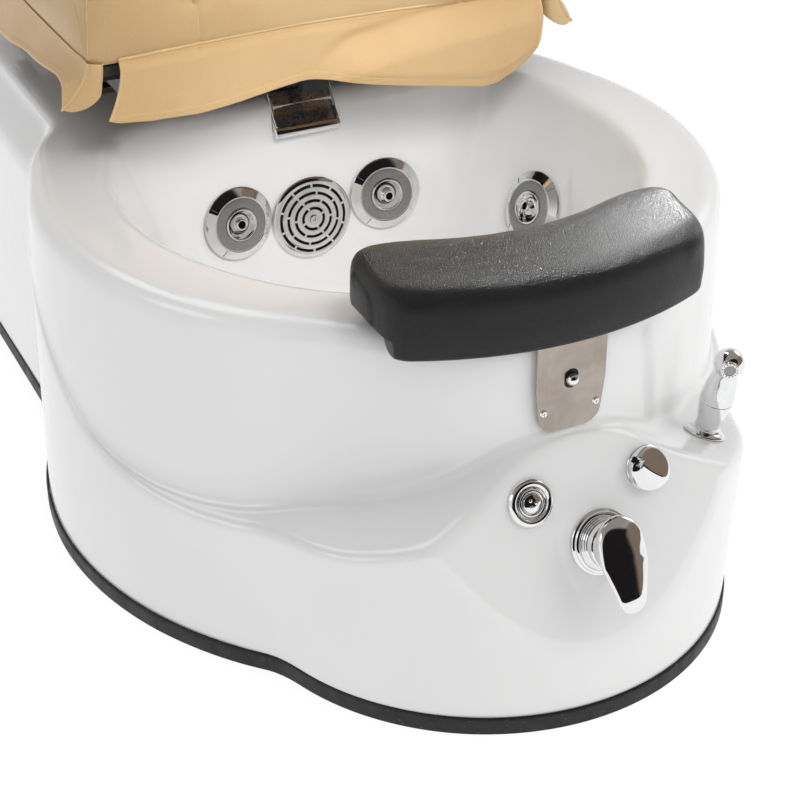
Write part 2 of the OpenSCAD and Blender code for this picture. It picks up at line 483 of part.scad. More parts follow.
module footrest_plate() color(steel) difference() {
    union() {
        translate([0, -435, 0]) rotate([90, 0, 0]) linear_extrude(1.6) difference() {
            hull() {
                for (s = [-1, 1]) translate([s * (plate_w / 2 - 21.5), 304]) circle(r = 18, $fn = 48);
                for (s = [-1, 1]) translate([s * (plate_w / 2 - 1), 380]) circle(r = 1, $fn = 24);
                translate([0, 350]) square([plate_w, 30], center = true);
            }
            translate([0, 338]) hull() { circle(d = 15, $fn = 40); translate([0, 6]) circle(d = 15, $fn = 40); }
            for (s = [-1, 1]) translate([s * 28.5, 309]) circle(d = 4.6, $fn = 32);
        }
        for (s = [-1, 1]) translate([s * 29.5 - 3.5, -435.2, 322]) cube([7, 3.4, 40]);
    }
    for (s = [-1, 1]) translate([s * 28.5, -430, 309]) rotate([90, 0, 0]) cylinder(d = 4.6, h = 20);
}
// spring latch: a ball pull on a stem that sits in the tongue's notch
module footrest_latch() color(chrome) translate([0, 0, 341]) rotate([90, 0, 0]) {
    translate([0, 0, 441.5]) sphere(d = 13);
    translate([0, 0, 405]) cylinder(d = 7.4, h = 35);
    translate([0, 0, 405]) cylinder(d = 14, h = 6);
}

// ---------- seat ----------
module seat_rails() color(steel) for (s = [-1, 1]) {
    difference() {
        translate([s * 215 - 22, 300, rim_z + 0.3]) cube([44, 460, 34]);
        translate([s * 215 - 18, 290, rim_z + 8]) cube([36, 480, 18]);
        translate([s * 215 - 9, 290, rim_z + 20]) cube([18, 480, 20]);
    }
}
module seat_slider() color(dark) {
    for (s = [-1, 1]) {
        difference() {
            union() {
                translate([s * 215 - 17, 312, rim_z + 9]) cube([34, 283, 16]);
                translate([s * 215 - 8, 312, rim_z + 20]) cube([16, 283, 45]);
            }
        }
        translate([s * 215 - 22, 130, rim_z + 60]) cube([44, 470, 22]);
    }
    for (y = [140, 560]) translate([-262, y, rim_z + 82]) cube([524, 30, 16]);
    // the actuator's rod and its bracket
    translate([0, 560, rim_z + 36]) rotate([90, 0, 0]) cylinder(d = 20, h = 395);
    translate([-16, 153, rim_z + 20]) cube([32, 14, 63]);
    for (s = [-1, 1]) translate([s * 235 - 27, hinge_y - 15, rim_z + 82]) cube([54, 40, 16]);
    // ears that carry the backrest's pivots
    for (s = [-1, 1]) difference() {
        hull() {
            translate([s * 262 - 4, hinge_y - 25, rim_z + 82]) cube([8, 60, 16]);
            translate([s * 262 - 4, hinge_y, hinge_z]) rotate([0, 90, 0]) cylinder(r = 20, h = 8, $fn = 40);
        }
        translate([s * 262 - 10, hinge_y, hinge_z]) rotate([0, 90, 0]) cylinder(d = 16.1, h = 20);
    }
}
module seat_pan() color(dark) difference() {
    translate([-270, 112, rim_z + 98.3]) cube([540, 440, 12]);
    for (x = [-120, 0, 120]) translate([x, 330, rim_z + 90]) cylinder(d = 60, h = 40);
}
module soft_box(x0, x1, y0, y1, z0, z1, r0, r1) {
    hull() {
        for (x = [x0 + r0, x1 - r0]) for (y = [y0 + r0, y1 - r0]) translate([x, y, z0 + r0]) sphere(r = r0, $fn = 16);
        for (x = [x0 + r1, x1 - r1]) for (y = [y0 + r1, y1 - r1]) translate([x, y, z1 - r1]) sphere(r = r1, $fn = 28);
    }
}
module seat_cushion() color(tan) soft_box(-seat_w / 2, seat_w / 2, seat_y, 556, seat_z, seat_top, 8, 30);
// wavy plan line of the front apron
function apron_y(x) = 90.5 - 1.5 * sin(x * 1.1 + 20) - 9 * ramp(70, 235, x) + 6 * ramp(235, 262, x);
module seat_apron() color(tan) intersection() {
    translate([0, 0, 416]) linear_extrude(94.6) polygon(concat([for (x = [-256:16:256]) [x, apron_y(x) - 1.3]], [for (x = [256:-16:-256]) [x, apron_y(x) + 1.3]]));
    translate([0, 140, 0]) rotate([90, 0, 0]) linear_extrude(120) polygon(concat([[-256, 520], [-256, 448], [-244, 441]], [for (x = [-228:16:228]) [x, 441 - 8 * sin((x + 256) * 0.35) + 5 * sin(x * 1.7) - 8 * ramp(60, 200, x)]], [[244, 424], [256, 434], [256, 520]]));
}
module seat_side_flaps() color(tan) for (s = [-1, 1]) intersection() {
    translate([s * 287.2 - 1.25, 112, 420]) cube([2.5, 430, 100]);
    translate([300, 0, 0]) rotate([90, 0, -90]) translate([0, 0, -20]) linear_extrude(640) scale([-1, 1]) polygon([[112, 520], [112, 447], [128, 436], [200, 441], [300, 434], [420, 440], [500, 436], [512, 447], [512, 520]]);
}
module slide_actuator() color(dark) {
    difference() {
        union() {
            translate([-35, 600, rim_z + 0.3]) cube([70, 120, 60]);
            translate([0, 604, rim_z + 36]) rotate([90, 0, 0]) cylinder(d = 34, h = 190);
        }
        translate([0, 720, rim_z + 36]) rotate([90, 0, 0]) translate([0, 0, -10]) cylinder(d = 20.1, h = 340);
    }
}
module arm_posts() color(dark) for (s = [-1, 1]) {
    difference() {
        union() {
            translate([s * 306 - 8, arm_hinge_y - 38, rim_z + 66]) cube([16, 52, arm_hinge_z - rim_z - 66]);
            translate([s * 306 - 8, arm_hinge_y - 10, arm_hinge_z]) rotate([0, 90, 0]) cylinder(r = 25, h = 16);
        }
        translate([s * 306 - 20, arm_hinge_y - 10, arm_hinge_z]) rotate([0, 90, 0]) cylinder(d = 14.1, h = 40);
    }
    translate([s * 279 - 35, arm_hinge_y - 38, rim_z + 66]) cube([70, 34, 15.5]);
}
module arm_frame(s, y0) {
    translate([s * 343, 0, 0]) {
        // beam under the pad
        translate([-18, y0, arm_top - 66]) cube([36, 570 - y0, 20]);
        difference() {
            translate([s > 0 ? -27.6 : 17.6, arm_hinge_y - 44, arm_hinge_z - 24]) cube([10, 68, 50]);
            translate([s > 0 ? -40 : 10, arm_hinge_y - 10, arm_hinge_z]) rotate([0, 90, 0]) cylinder(d = 13.9, h = 30);
        }
    }
    translate([s > 0 ? 300 : -326, arm_hinge_y - 10, arm_hinge_z]) rotate([0, 90, 0]) cylinder(d = 13.96, h = 26);
    translate([s > 0 ? 314.8 : -325.8, arm_hinge_y - 10, arm_hinge_z]) rotate([0, 90, 0]) cylinder(d = 30, h = 11);
}
module arm_left_frame() color(dark) arm_frame(-1, 130);
module arm_right_frame() color(dark) arm_frame(1, 196);
module arm_left_pad() color(tan) soft_box(-388, -298, 96, 574, arm_top - 45.6, arm_top, 8, 18);
module arm_right_pad() color(tan) soft_box(298, 388, 206, 574, arm_top - 45.6, arm_top, 8, 18);
module cup_tray() color(white) difference() {
    union() {
        translate([343, 150, arm_top - 45.6]) cylinder(d = 104, h = 8);
        translate([343, 150, arm_top - 78]) cylinder(d = 86, h = 33);
        translate([310, 150, arm_top - 45.6]) cube([66, 54, 8]);
    }
    translate([343, 150, arm_top - 74]) cylinder(d = 78, h = 60);
}

// ---------- backrest: drawn upright at the hinge, then leaned back ----------
module lean() { translate([0, hinge_y, hinge_z]) rotate([-back_lean, 0, 0]) children(); }
module backrest_frame() color(dark) lean() {
    for (s = [-1, 1]) {
        difference() {
            union() {
                translate([s * 251 - 6, -16, -4]) cube([12, 32, back_l - 60]);
                translate([s * 251 - 6, 0, 0]) rotate([0, 90, 0]) cylinder(r = 20, h = 12);
            }
        }
        translate([s > 0 ? 256 : -268, 0, 0]) rotate([0, 90, 0]) cylinder(d = 16, h = 12);
    }
    for (z = [60, 340, 640]) translate([-246, -10, z]) cube([492, 20, 24]);
}
module backrest_shell() color(tan) lean() difference() {
    soft_box(-276, 276, -16, 78, 34, back_l + 12, 8, 24);
    translate([-262, -30, 20]) cube([524, 70, back_l - 46]);
}
module backrest_cushion() color(tan) lean() difference() {
    soft_box(-272, 272, -112, -17, 78, back_l + 6, 12, 34);
}
module head_pillow() color(tan) lean() hull() {
    for (x = [-130, 130]) for (z = [back_l - 150, back_l - 60]) translate([x, -142, z]) scale([1, 0.8, 1]) sphere(r = 36, $fn = 24);
}
module recline_gearmotor() color(grey) {
    translate([-80, 520, rim_z + 98.5]) translate([0, 38, 0]) cube([120, 34, 40]);
    translate([39, 575, rim_z + 118]) rotate([0, 90, 0]) cylinder(d = 32, h = 150);
}
module control_box() color(dark) {
    difference() {
        translate([60, 340, 60.3]) cube([130, 170, 70]);
        for (k = [0:4]) translate([58, 350 + 30 * k, 110]) cube([8, 14, 5]);
    }
}
module power_inlet() color(dark) translate([240, rear_y - 1, 90]) difference() {
    union() {
        translate([-18, -0.5, -14]) cube([36, 4, 28]);
        translate([-13.4, -26, -10.4]) cube([26.8, 26, 20.8]);
    }
    translate([-11.5, -20, -8]) cube([23, 30, 16]);
}

base_shell();
foot_bowl();
kick_trim();
base_frame();
levelling_feet();
rear_access_panel();
fixing_screws();
jet_bezels();
jet_nozzles();
jet_housings();
suction_cover();
suction_screw();
suction_housing();
waterfall_spout();
waterfall_feed();
drain_flange();
drain_plug();
drain_pipe();
drain_pump();
jet_pump();
jet_pipework();
mixer_escutcheon();
mixer_valve_body();
mixer_collar();
mixer_lever();
air_button_bezel();
air_button();
air_switch_body();
diverter_bezel();
diverter_knob();
diverter_valve_body();
sprayer_dock();
sprayer_handle();
sprayer_head();
sprayer_hose();
footrest_cushion();
footrest_board();
footrest_tongue();
footrest_plate();
footrest_latch();
seat_rails();
seat_slider();
seat_pan();
seat_cushion();
seat_apron();
seat_side_flaps();
slide_actuator();
arm_posts();
arm_left_frame();
arm_left_pad();
arm_right_frame();
arm_right_pad();
cup_tray();
backrest_frame();
backrest_shell();
backrest_cushion();
head_pillow();
recline_gearmotor();
control_box();
power_inlet();
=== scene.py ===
import bpy
import bmesh
import json
import math
import numpy as np
from mathutils import Vector, Matrix, noise
from mathutils.bvhtree import BVHTree

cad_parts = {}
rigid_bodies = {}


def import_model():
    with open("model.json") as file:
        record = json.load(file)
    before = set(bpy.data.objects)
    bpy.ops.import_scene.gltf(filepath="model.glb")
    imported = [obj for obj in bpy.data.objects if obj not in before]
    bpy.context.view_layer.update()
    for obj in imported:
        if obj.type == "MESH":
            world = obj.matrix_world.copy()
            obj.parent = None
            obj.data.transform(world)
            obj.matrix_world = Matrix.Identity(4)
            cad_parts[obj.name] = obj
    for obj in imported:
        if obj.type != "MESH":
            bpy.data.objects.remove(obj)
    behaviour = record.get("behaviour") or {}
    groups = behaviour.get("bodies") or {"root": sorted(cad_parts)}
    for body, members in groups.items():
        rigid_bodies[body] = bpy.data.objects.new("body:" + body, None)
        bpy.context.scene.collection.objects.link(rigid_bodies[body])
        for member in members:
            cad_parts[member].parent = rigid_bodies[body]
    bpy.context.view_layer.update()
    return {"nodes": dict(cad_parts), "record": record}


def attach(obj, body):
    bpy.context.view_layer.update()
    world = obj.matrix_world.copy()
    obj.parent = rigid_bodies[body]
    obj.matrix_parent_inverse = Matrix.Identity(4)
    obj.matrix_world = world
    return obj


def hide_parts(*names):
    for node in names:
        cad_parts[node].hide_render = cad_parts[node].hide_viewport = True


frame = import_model()
NODES = frame["nodes"]
SC = bpy.context.scene

# ------------------------------------------------------------------ camera
A, E = math.radians(25.95), math.radians(31.48)
cam = bpy.data.objects.new("camera", bpy.data.cameras.new("camera"))
cam.data.lens = 84.96
cam.data.sensor_width = 36.0
cam.data.clip_start, cam.data.clip_end = 0.05, 60.0
cam.location = (-0.80975, -1.73335, 1.24779)
cam.rotation_mode = "QUATERNION"
cam.rotation_quaternion = Vector((math.sin(A) * math.cos(E), math.cos(A) * math.cos(E), -math.sin(E))).to_track_quat("-Z", "Y")
SC.collection.objects.link(cam)
SC.camera = cam
SC.view_settings.view_transform = "Standard"
SC.view_settings.look = "None"
SC.view_settings.exposure = 0.0
SC.view_settings.gamma = 1.0


# ------------------------------------------------------------------ helpers
def srgb(r, g, b):
    return tuple(((c / 255 + 0.055) / 1.055) ** 2.4 if c > 10 else c / 255 / 12.92 for c in (r, g, b)) + (1.0,)


def add_mesh(name, verts, faces, mats, body, sharp=35.0, mat_index=None, mm=True):
    v = np.asarray(verts, float) * (0.001 if mm else 1.0)
    me = bpy.data.meshes.new(name)
    me.from_pydata(v.tolist(), [], [list(map(int, f)) for f in faces])
    me.validate()
    me.update()
    ob = bpy.data.objects.new(name, me)
    SC.collection.objects.link(ob)
    for m in (mats if isinstance(mats, (list, tuple)) else [mats]):
        me.materials.append(m)
    if mat_index is not None:
        me.polygons.foreach_set("material_index", np.asarray(mat_index, np.int32))
    smooth(ob, sharp)
    if body:
        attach(ob, body)
    return ob


def smooth(ob, angle=35.0):
    me = ob.data
    me.polygons.foreach_set("use_smooth", np.ones(len(me.polygons), bool))
    if angle is not None and angle < 180:
        me.set_sharp_from_angle(angle=math.radians(angle))
    me.update()


def fix_normals(ob):
    bm = bmesh.new()
    bm.from_mesh(ob.data)
    bmesh.ops.recalc_face_normals(bm, faces=bm.faces)
    bm.to_mesh(ob.data)
    bm.free()


def rounded(pts, rad, n=3, closed=True):
    """A polyline with each corner replaced by a small curve. rad is one number or one for each point."""
    m = len(pts)
    rads = rad if hasattr(rad, "__len__") else [rad] * m
    out = []
    for i in range(m):
        p = np.array(pts[i], float)
        if (not closed and i in (0, m - 1)) or rads[i] <= 0:
            out.append(p)
            continue
        a, b = np.array(pts[i - 1], float), np.array(pts[(i + 1) % m], float)
        la, lb = np.linalg.norm(a - p), np.linalg.norm(b - p)
        s = p + (a - p) / la * min(rads[i], la * 0.45)
        e = p + (b - p) / lb * min(rads[i], lb * 0.45)
        for k in range(n + 1):
            u = k / n
            out.append(s * (1 - u) ** 2 + 2 * p * u * (1 - u) + e * u * u)
    return np.array(out)


def revolve(profile, n=96, closed=False):
    """verts and faces of a profile of (r, z) turned about Z. An end on the axis becomes one point."""
    prof = np.asarray(profile, float)
    V, F, rings = [], [], []
    for r, z in prof:
        if r < 1e-6:
            rings.append([len(V)])
            V.append((0, 0, z))
        else:
            ids = []
            for k in range(n):
                t = 2 * math.pi * k / n
                ids.append(len(V))
                V.append((r * math.cos(t), r * math.sin(t), z))
            rings.append(ids)
    pairs = list(zip(range(len(rings)), range(1, len(rings)))) + ([(len(rings) - 1, 0)] if closed else [])
    for a, b in pairs:
        A_, B_ = rings[a], rings[b]
        for k in range(n):
            k2 = (k + 1) % n
            if len(A_) == 1 and len(B_) == 1:
                continue
            if len(A_) == 1:
                F.append((A_[0], B_[k2], B_[k]))
            elif len(B_) == 1:
                F.append((A_[k], A_[k2], B_[0]))
            else:
                F.append((A_[k], A_[k2], B_[k2], B_[k]))
    return np.array(V), F


def at(p, az, el, mm=True):
    """The matrix that lays local +Z along the normal at p, like the fittings' own frame."""
    return Matrix.Translation(Vector(p)) @ Matrix.Rotation(math.radians(az), 4, "Z") @ Matrix.Rotation(math.radians(90 - el), 4, "Y")


def xf(V, M):
    R = np.array(M, float)
    return np.asarray(V, float) @ R[:3, :3].T + R[:3, 3]


def lathe(name, profile, M, mat, body, n=96, rad=0.5, closed=True, sharp=40.0, seg=3):
    pts = rounded(profile, rad, seg, closed)
    V, F = revolve(pts, n, closed)
    ob = add_mesh(name, xf(V, M), F, mat, body, sharp)
    fix_normals(ob)
    return ob


def join_parts(parts):
    """[(verts, faces), ...] as one."""
    V, F, o = [], [], 0
    for v, f in parts:
        V.append(np.asarray(v, float))
        F += [tuple(i + o for i in q) for q in f]
        o += len(v)
    return np.concatenate(V), F


def tube(path, r, n=10, cap=True, up=(0, 0, 1), closed=False):
    """A tube of radius r (a number or one for each point) along path."""
    P = np.asarray(path, float)
    m = len(P)
    rr = np.full(m, r, float) if not hasattr(r, "__len__") else np.asarray(r, float)
    T = np.gradient(P, axis=0) if not closed else (np.roll(P, -1, 0) - np.roll(P, 1, 0))
    T /= np.maximum(np.linalg.norm(T, axis=1), 1e-9)[:, None]
    V, F = [], []
    N = np.array(up, float)
    for i in range(m):
        N = N - T[i] * (N @ T[i])
        if np.linalg.norm(N) < 1e-6:
            N = np.array([1.0, 0.3, 0.2])
            N = N - T[i] * (N @ T[i])
        N /= np.linalg.norm(N)
        B = np.cross(T[i], N)
        for k in range(n):
            t = 2 * math.pi * k / n
            V.append(P[i] + rr[i] * (math.cos(t) * N + math.sin(t) * B))
    rows = m if closed else m - 1
    for i in range(rows):
        j = (i + 1) % m
        for k in range(n):
            k2 = (k + 1) % n
            F.append((i * n + k, i * n + k2, j * n + k2, j * n + k))
    if cap and not closed:
        V.append(P[0] - T[0] * rr[0] * 0.5)
        V.append(P[-1] + T[-1] * rr[-1] * 0.5)
        a, b = len(V) - 2, len(V) - 1
        for k in range(n):
            k2 = (k + 1) % n
            F.append((a, k2, k))
            F.append((b, (m - 1) * n + k, (m - 1) * n + k2))
    return np.array(V), F


def spline(P, n):
    """n points of an even Catmull-Rom curve through P."""
    P = np.asarray(P, float)
    Q = np.concatenate([[2 * P[0] - P[1]], P, [2 * P[-1] - P[-2]]])
    out = []
    for i in range(len(P) - 1):
        a, b, c, d = Q[i], Q[i + 1], Q[i + 2], Q[i + 3]
        for k in range(16):
            t = k / 16
            out.append(0.5 * ((2 * b) + (c - a) * t + (2 * a - 5 * b + 4 * c - d) * t * t + (3 * b - a - 3 * c + d) * t ** 3))
    out.append(P[-1])
    return resample(np.array(out), n)


def resample(P, n, closed=False):
    P = np.asarray(P, float)
    if closed:
        P = np.concatenate([P, P[:1]])
    L = np.concatenate([[0], np.cumsum(np.linalg.norm(np.diff(P, axis=0), axis=1))])
    u = np.linspace(0, L[-1], n, endpoint=not closed)
    return np.stack([np.interp(u, L, P[:, i]) for i in range(P.shape[1])], 1)


def sstep(a, b, x):
    t = np.clip((x - a) / (b - a), 0, 1)
    return t * t * (3 - 2 * t)


# ------------------------------------------------------------------ materials
class M_:
    """A small builder round one Principled material."""

    def __init__(self, name):
        self.m = bpy.data.materials.new(name)
        self.m.use_nodes = True
        self.nt = self.m.node_tree
        self.b = self.nt.nodes["Principled BSDF"]
        self.tc = self.nt.nodes.new("ShaderNodeTexCoord")
        self.normal = None

    def set(self, **k):
        for key, v in k.items():
            self.b.inputs[key.replace("_", " ")].default_value = v
        return self

    def node(self, kind, **k):
        n = self.nt.nodes.new(kind)
        for key, v in k.items():
            setattr(n, key, v)
        return n

    def link(self, a, b):
        self.nt.links.new(a, b)

    def scaled(self, s):
        n = self.node("ShaderNodeMapping")
        n.inputs["Scale"].default_value = s
        self.link(self.tc.outputs["Object"], n.inputs["Vector"])
        return n.outputs["Vector"]

    def noise(self, scale, detail=3.0, rough=0.5, vec=None, dist=0.0):
        n = self.node("ShaderNodeTexNoise")
        n.inputs["Scale"].default_value = scale
        n.inputs["Detail"].default_value = detail
        n.inputs["Roughness"].default_value = rough
        n.inputs["Distortion"].default_value = dist
        self.link(vec or self.tc.outputs["Object"], n.inputs["Vector"])
        return n.outputs["Fac"]

    def voronoi(self, scale, feature="F1", vec=None, rand=1.0):
        n = self.node("ShaderNodeTexVoronoi", feature=feature)
        n.inputs["Scale"].default_value = scale
        n.inputs["Randomness"].default_value = rand
        self.link(vec or self.tc.outputs["Object"], n.inputs["Vector"])
        return n.outputs["Distance"]

    def remap(self, sock, a, b, c, d, smooth_=False):
        n = self.node("ShaderNodeMapRange", interpolation_type="SMOOTHSTEP" if smooth_ else "LINEAR")
        for i, v in zip(("From Min", "From Max", "To Min", "To Max"), (a, b, c, d)):
            n.inputs[i].default_value = v
        self.link(sock, n.inputs["Value"])
        return n.outputs["Result"]

    def math(self, op, a, b=None):
        n = self.node("ShaderNodeMath", operation=op)
        for i, x in enumerate((a, b)):
            if x is None:
                continue
            if isinstance(x, (int, float)):
                n.inputs[i].default_value = x
            else:
                self.link(x, n.inputs[i])
        return n.outputs[0]

    def mix(self, fac, a, b, blend="MIX"):
        n = self.node("ShaderNodeMix", data_type="RGBA", blend_type=blend)
        if isinstance(fac, (int, float)):
            n.inputs[0].default_value = fac
        else:
            self.link(fac, n.inputs[0])
        for i, x in ((6, a), (7, b)):
            if isinstance(x, tuple):
                n.inputs[i].default_value = x
            else:
                self.link(x, n.inputs[i])
        return n.outputs[2]

    def color(self, sock):
        self.link(sock, self.b.inputs["Base Color"])
        return self

    def rough(self, sock):
        self.link(sock, self.b.inputs["Roughness"])
        return self

    def bump(self, height, dist, strength=1.0):
        n = self.node("ShaderNodeBump")
        n.inputs["Strength"].default_value = strength
        n.inputs["Distance"].default_value = dist
        self.link(height, n.inputs["Height"])
        if self.normal is not None:
            self.link(self.normal, n.inputs["Normal"])
        self.normal = n.outputs["Normal"]
        self.link(self.normal, self.b.inputs["Normal"])
        return self

    def pointy(self):
        return self.node("ShaderNodeNewGeometry").outputs["Pointiness"]


def leather(name, col, dark, light, grain=1.0, rough=(0.40, 0.54)):
    m = M_(name)
    m.set(Specular_IOR_Level=0.42, Sheen_Weight=0.06, Sheen_Roughness=0.5)
    big = m.noise(7.0, 3.0, 0.55)
    c = m.mix(m.remap(big, 0.3, 0.7, 0.0, 1.0, True), dark, col)
    fine = m.noise(520.0, 2.0, 0.6)
    c = m.mix(m.remap(fine, 0.35, 0.75, 0.0, 0.22), c, light)
    # painted highlight: convex edges and ridges made lighter
    edge = m.remap(m.pointy(), 0.50, 0.56, 0.0, 0.35, True)
    c = m.mix(edge, c, light)
    # painted shade: creases, seams and hollows made darker
    low = m.remap(m.pointy(), 0.44, 0.49, 0.55, 0.0, True)
    c = m.mix(low, c, dark)
    m.color(c)
    m.rough(m.remap(m.noise(38.0, 4.0, 0.6), 0.3, 0.7, rough[0], rough[1]))
    cells = m.voronoi(900.0 / grain, "DISTANCE_TO_EDGE")
    m.bump(m.remap(cells, 0.0, 0.22, 0.0, 1.0, True), 0.00016, 0.42)
    m.bump(m.noise(1700.0 / grain, 2.0, 0.6), 0.00008, 0.35)
    m.bump(m.noise(24.0, 3.0, 0.5), 0.0012, 0.16)
    return m.m


def build_acrylic():
    m = M_("white_acrylic")
    m.set(Specular_IOR_Level=0.5, Coat_Weight=0.55, Coat_Roughness=0.035, Coat_IOR=1.5)
    c = m.mix(m.remap(m.noise(5.0, 3.0, 0.5), 0.3, 0.7, 0.0, 1.0, True), (0.845, 0.842, 0.838, 1), (0.868, 0.866, 0.864, 1))
    # painted highlight: convex edges and rounded rims made lighter
    c = m.mix(m.remap(m.pointy(), 0.51, 0.60, 0.0, 0.35, True), c, (0.90, 0.90, 0.895, 1))
    # faint wipe marks and dust
    c = m.mix(m.remap(m.noise(190.0, 2.0, 0.7), 0.66, 0.80, 0.0, 0.10), c, (0.70, 0.70, 0.69, 1))
    m.color(c)
    m.rough(m.remap(m.noise(11.0, 4.0, 0.6), 0.3, 0.7, 0.16, 0.24))
    m.bump(m.noise(46.0, 2.0, 0.45), 0.0009, 0.05)
    m.bump(m.noise(420.0, 1.0, 0.5), 0.00012, 0.06)
    return m.m


def build_chrome(name="chrome_plate", base=(0.86, 0.865, 0.87, 1), r=(0.025, 0.075), tint=None):
    m = M_(name)
    m.set(Metallic=1.0, Specular_IOR_Level=0.5)
    c = m.mix(m.remap(m.noise(60.0, 3.0, 0.6), 0.35, 0.7, 0.0, 1.0), base, tint or (0.80, 0.80, 0.805, 1))
    m.color(c)
    m.rough(m.remap(m.noise(130.0, 4.0, 0.65), 0.3, 0.75, r[0], r[1]))
    m.bump(m.noise(75.0, 2.0, 0.5), 0.00035, 0.05)
    return m.m


def build_satin():
    m = M_("satin_ring")
    m.set(Metallic=0.85, Specular_IOR_Level=0.4)
    m.color(m.mix(m.remap(m.noise(300.0, 3.0, 0.6), 0.3, 0.7, 0.0, 1.0), (0.30, 0.30, 0.305, 1), (0.38, 0.38, 0.385, 1)))
    m.rough(m.remap(m.noise(500.0, 2.0, 0.5), 0.3, 0.7, 0.34, 0.48))
    m.bump(m.noise(900.0, 2.0, 0.5), 0.0001, 0.2)
    return m.m


def build_stainless():
    m = M_("polished_stainless")
    m.set(Metallic=1.0)
    streak = m.noise(1.0, 5.0, 0.7, vec=m.scaled((700.0, 700.0, 16.0)))
    big = m.noise(21.0, 3.0, 0.6, dist=0.6)
    c = m.mix(m.remap(big, 0.3, 0.7, 0.0, 1.0, True), (0.34, 0.295, 0.255, 1), (0.43, 0.38, 0.335, 1))
    c = m.mix(m.remap(streak, 0.3, 0.7, 0.0, 0.12), c, (0.52, 0.48, 0.44, 1))
    c = m.mix(m.remap(m.noise(260.0, 2.0, 0.7), 0.68, 0.8, 0.0, 0.3), c, (0.24, 0.21, 0.18, 1))
    m.color(c)
    m.rough(m.remap(m.noise(50.0, 3.0, 0.6), 0.3, 0.7, 0.12, 0.22))
    m.bump(m.noise(34.0, 2.0, 0.5), 0.0008, 0.12)
    m.bump(streak, 0.00003, 0.12)
    return m.m


def build_pu():
    m = M_("black_foam_skin")
    m.set(Specular_IOR_Level=0.42, Sheen_Weight=0.015, Sheen_Roughness=0.35)
    c = m.mix(m.remap(m.noise(9.0, 3.0, 0.5), 0.3, 0.7, 0.0, 1.0), (0.0045, 0.0042, 0.0046, 1), (0.0085, 0.008, 0.0085, 1))
    # painted highlight: convex edges of the cushion made lighter
    c = m.mix(m.remap(m.pointy(), 0.52, 0.62, 0.0, 0.5, True), c, (0.022, 0.021, 0.022, 1))
    c = m.mix(m.remap(m.noise(240.0, 2.0, 0.7), 0.68, 0.8, 0.0, 0.25), c, (0.09, 0.088, 0.085, 1))
    m.color(c)
    m.rough(m.remap(m.noise(30.0, 4.0, 0.6), 0.3, 0.7, 0.29, 0.37))
    cells = m.voronoi(620.0, "DISTANCE_TO_EDGE")
    m.bump(m.remap(cells, 0.0, 0.2, 0.0, 1.0, True), 0.0004, 0.75)
    m.bump(m.noise(1100.0, 2.0, 0.6), 0.00022, 0.5)
    m.bump(m.noise(14.0, 2.0, 0.5), 0.002, 0.10)
    return m.m


def build_rubber(name="trim_black_rubber", specks=True, base=(0.0075, 0.0073, 0.0075, 1)):
    m = M_(name)
    m.set(Specular_IOR_Level=0.35)
    c = m.mix(m.remap(m.noise(40.0, 4.0, 0.65), 0.3, 0.7, 0.0, 1.0), base, (0.017, 0.0165, 0.0165, 1))
    if specks:
        c = m.mix(m.remap(m.voronoi(165.0), 0.0, 0.10, 0.75, 0.0, True), c, (0.42, 0.41, 0.40, 1))
        c = m.mix(m.remap(m.noise(95.0, 4.0, 0.8), 0.62, 0.74, 0.0, 0.35), c, (0.22, 0.21, 0.205, 1))
    m.color(c)
    m.rough(m.remap(m.noise(60.0, 3.0, 0.6), 0.3, 0.7, 0.42, 0.62))
    m.bump(m.noise(350.0, 4.0, 0.7), 0.0003, 0.4)
    return m.m


def build_powder(name, base, base2, r=(0.34, 0.48), grain=1300.0):
    m = M_(name)
    m.set(Specular_IOR_Level=0.5)
    c = m.mix(m.remap(m.noise(18.0, 3.0, 0.6), 0.3, 0.7, 0.0, 1.0), base, base2)
    # painted highlight: convex edges made lighter
    c = m.mix(m.remap(m.pointy(), 0.53, 0.62, 0.0, 0.6, True), c, tuple(min(1.0, x * 2.2 + 0.03) for x in base[:3]) + (1,))
    m.color(c)
    m.rough(m.remap(m.noise(70.0, 3.0, 0.6), 0.3, 0.7, r[0], r[1]))
    m.bump(m.noise(grain, 2.0, 0.6), 0.00012, 0.4)
    return m.m


def build_steel(name, base, base2, r=(0.25, 0.4)):
    m = M_(name)
    m.set(Metallic=1.0)
    m.color(m.mix(m.remap(m.noise(22.0, 4.0, 0.6), 0.3, 0.7, 0.0, 1.0), base, base2))
    m.rough(m.remap(m.noise(120.0, 3.0, 0.6), 0.3, 0.7, r[0], r[1]))
    m.bump(m.noise(420.0, 3.0, 0.6), 0.0002, 0.3)
    return m.m


def build_ribbed_hose():
    m = M_("hose_jacket")
    m.set(Metallic=1.0)
    wave = m.node("ShaderNodeTexWave", wave_type="BANDS", bands_direction="Z")
    wave.inputs["Scale"].default_value = 120.0
    m.link(m.tc.outputs["Object"], wave.inputs["Vector"])
    m.color(m.mix(m.remap(m.noise(90.0, 3.0, 0.6), 0.3, 0.7, 0.0, 1.0), (0.55, 0.55, 0.56, 1), (0.42, 0.42, 0.43, 1)))
    m.rough(m.remap(m.noise(60.0, 2.0, 0.5), 0.3, 0.7, 0.22, 0.34))
    m.bump(wave.outputs["Fac"], 0.0008, 0.8)
    return m.m


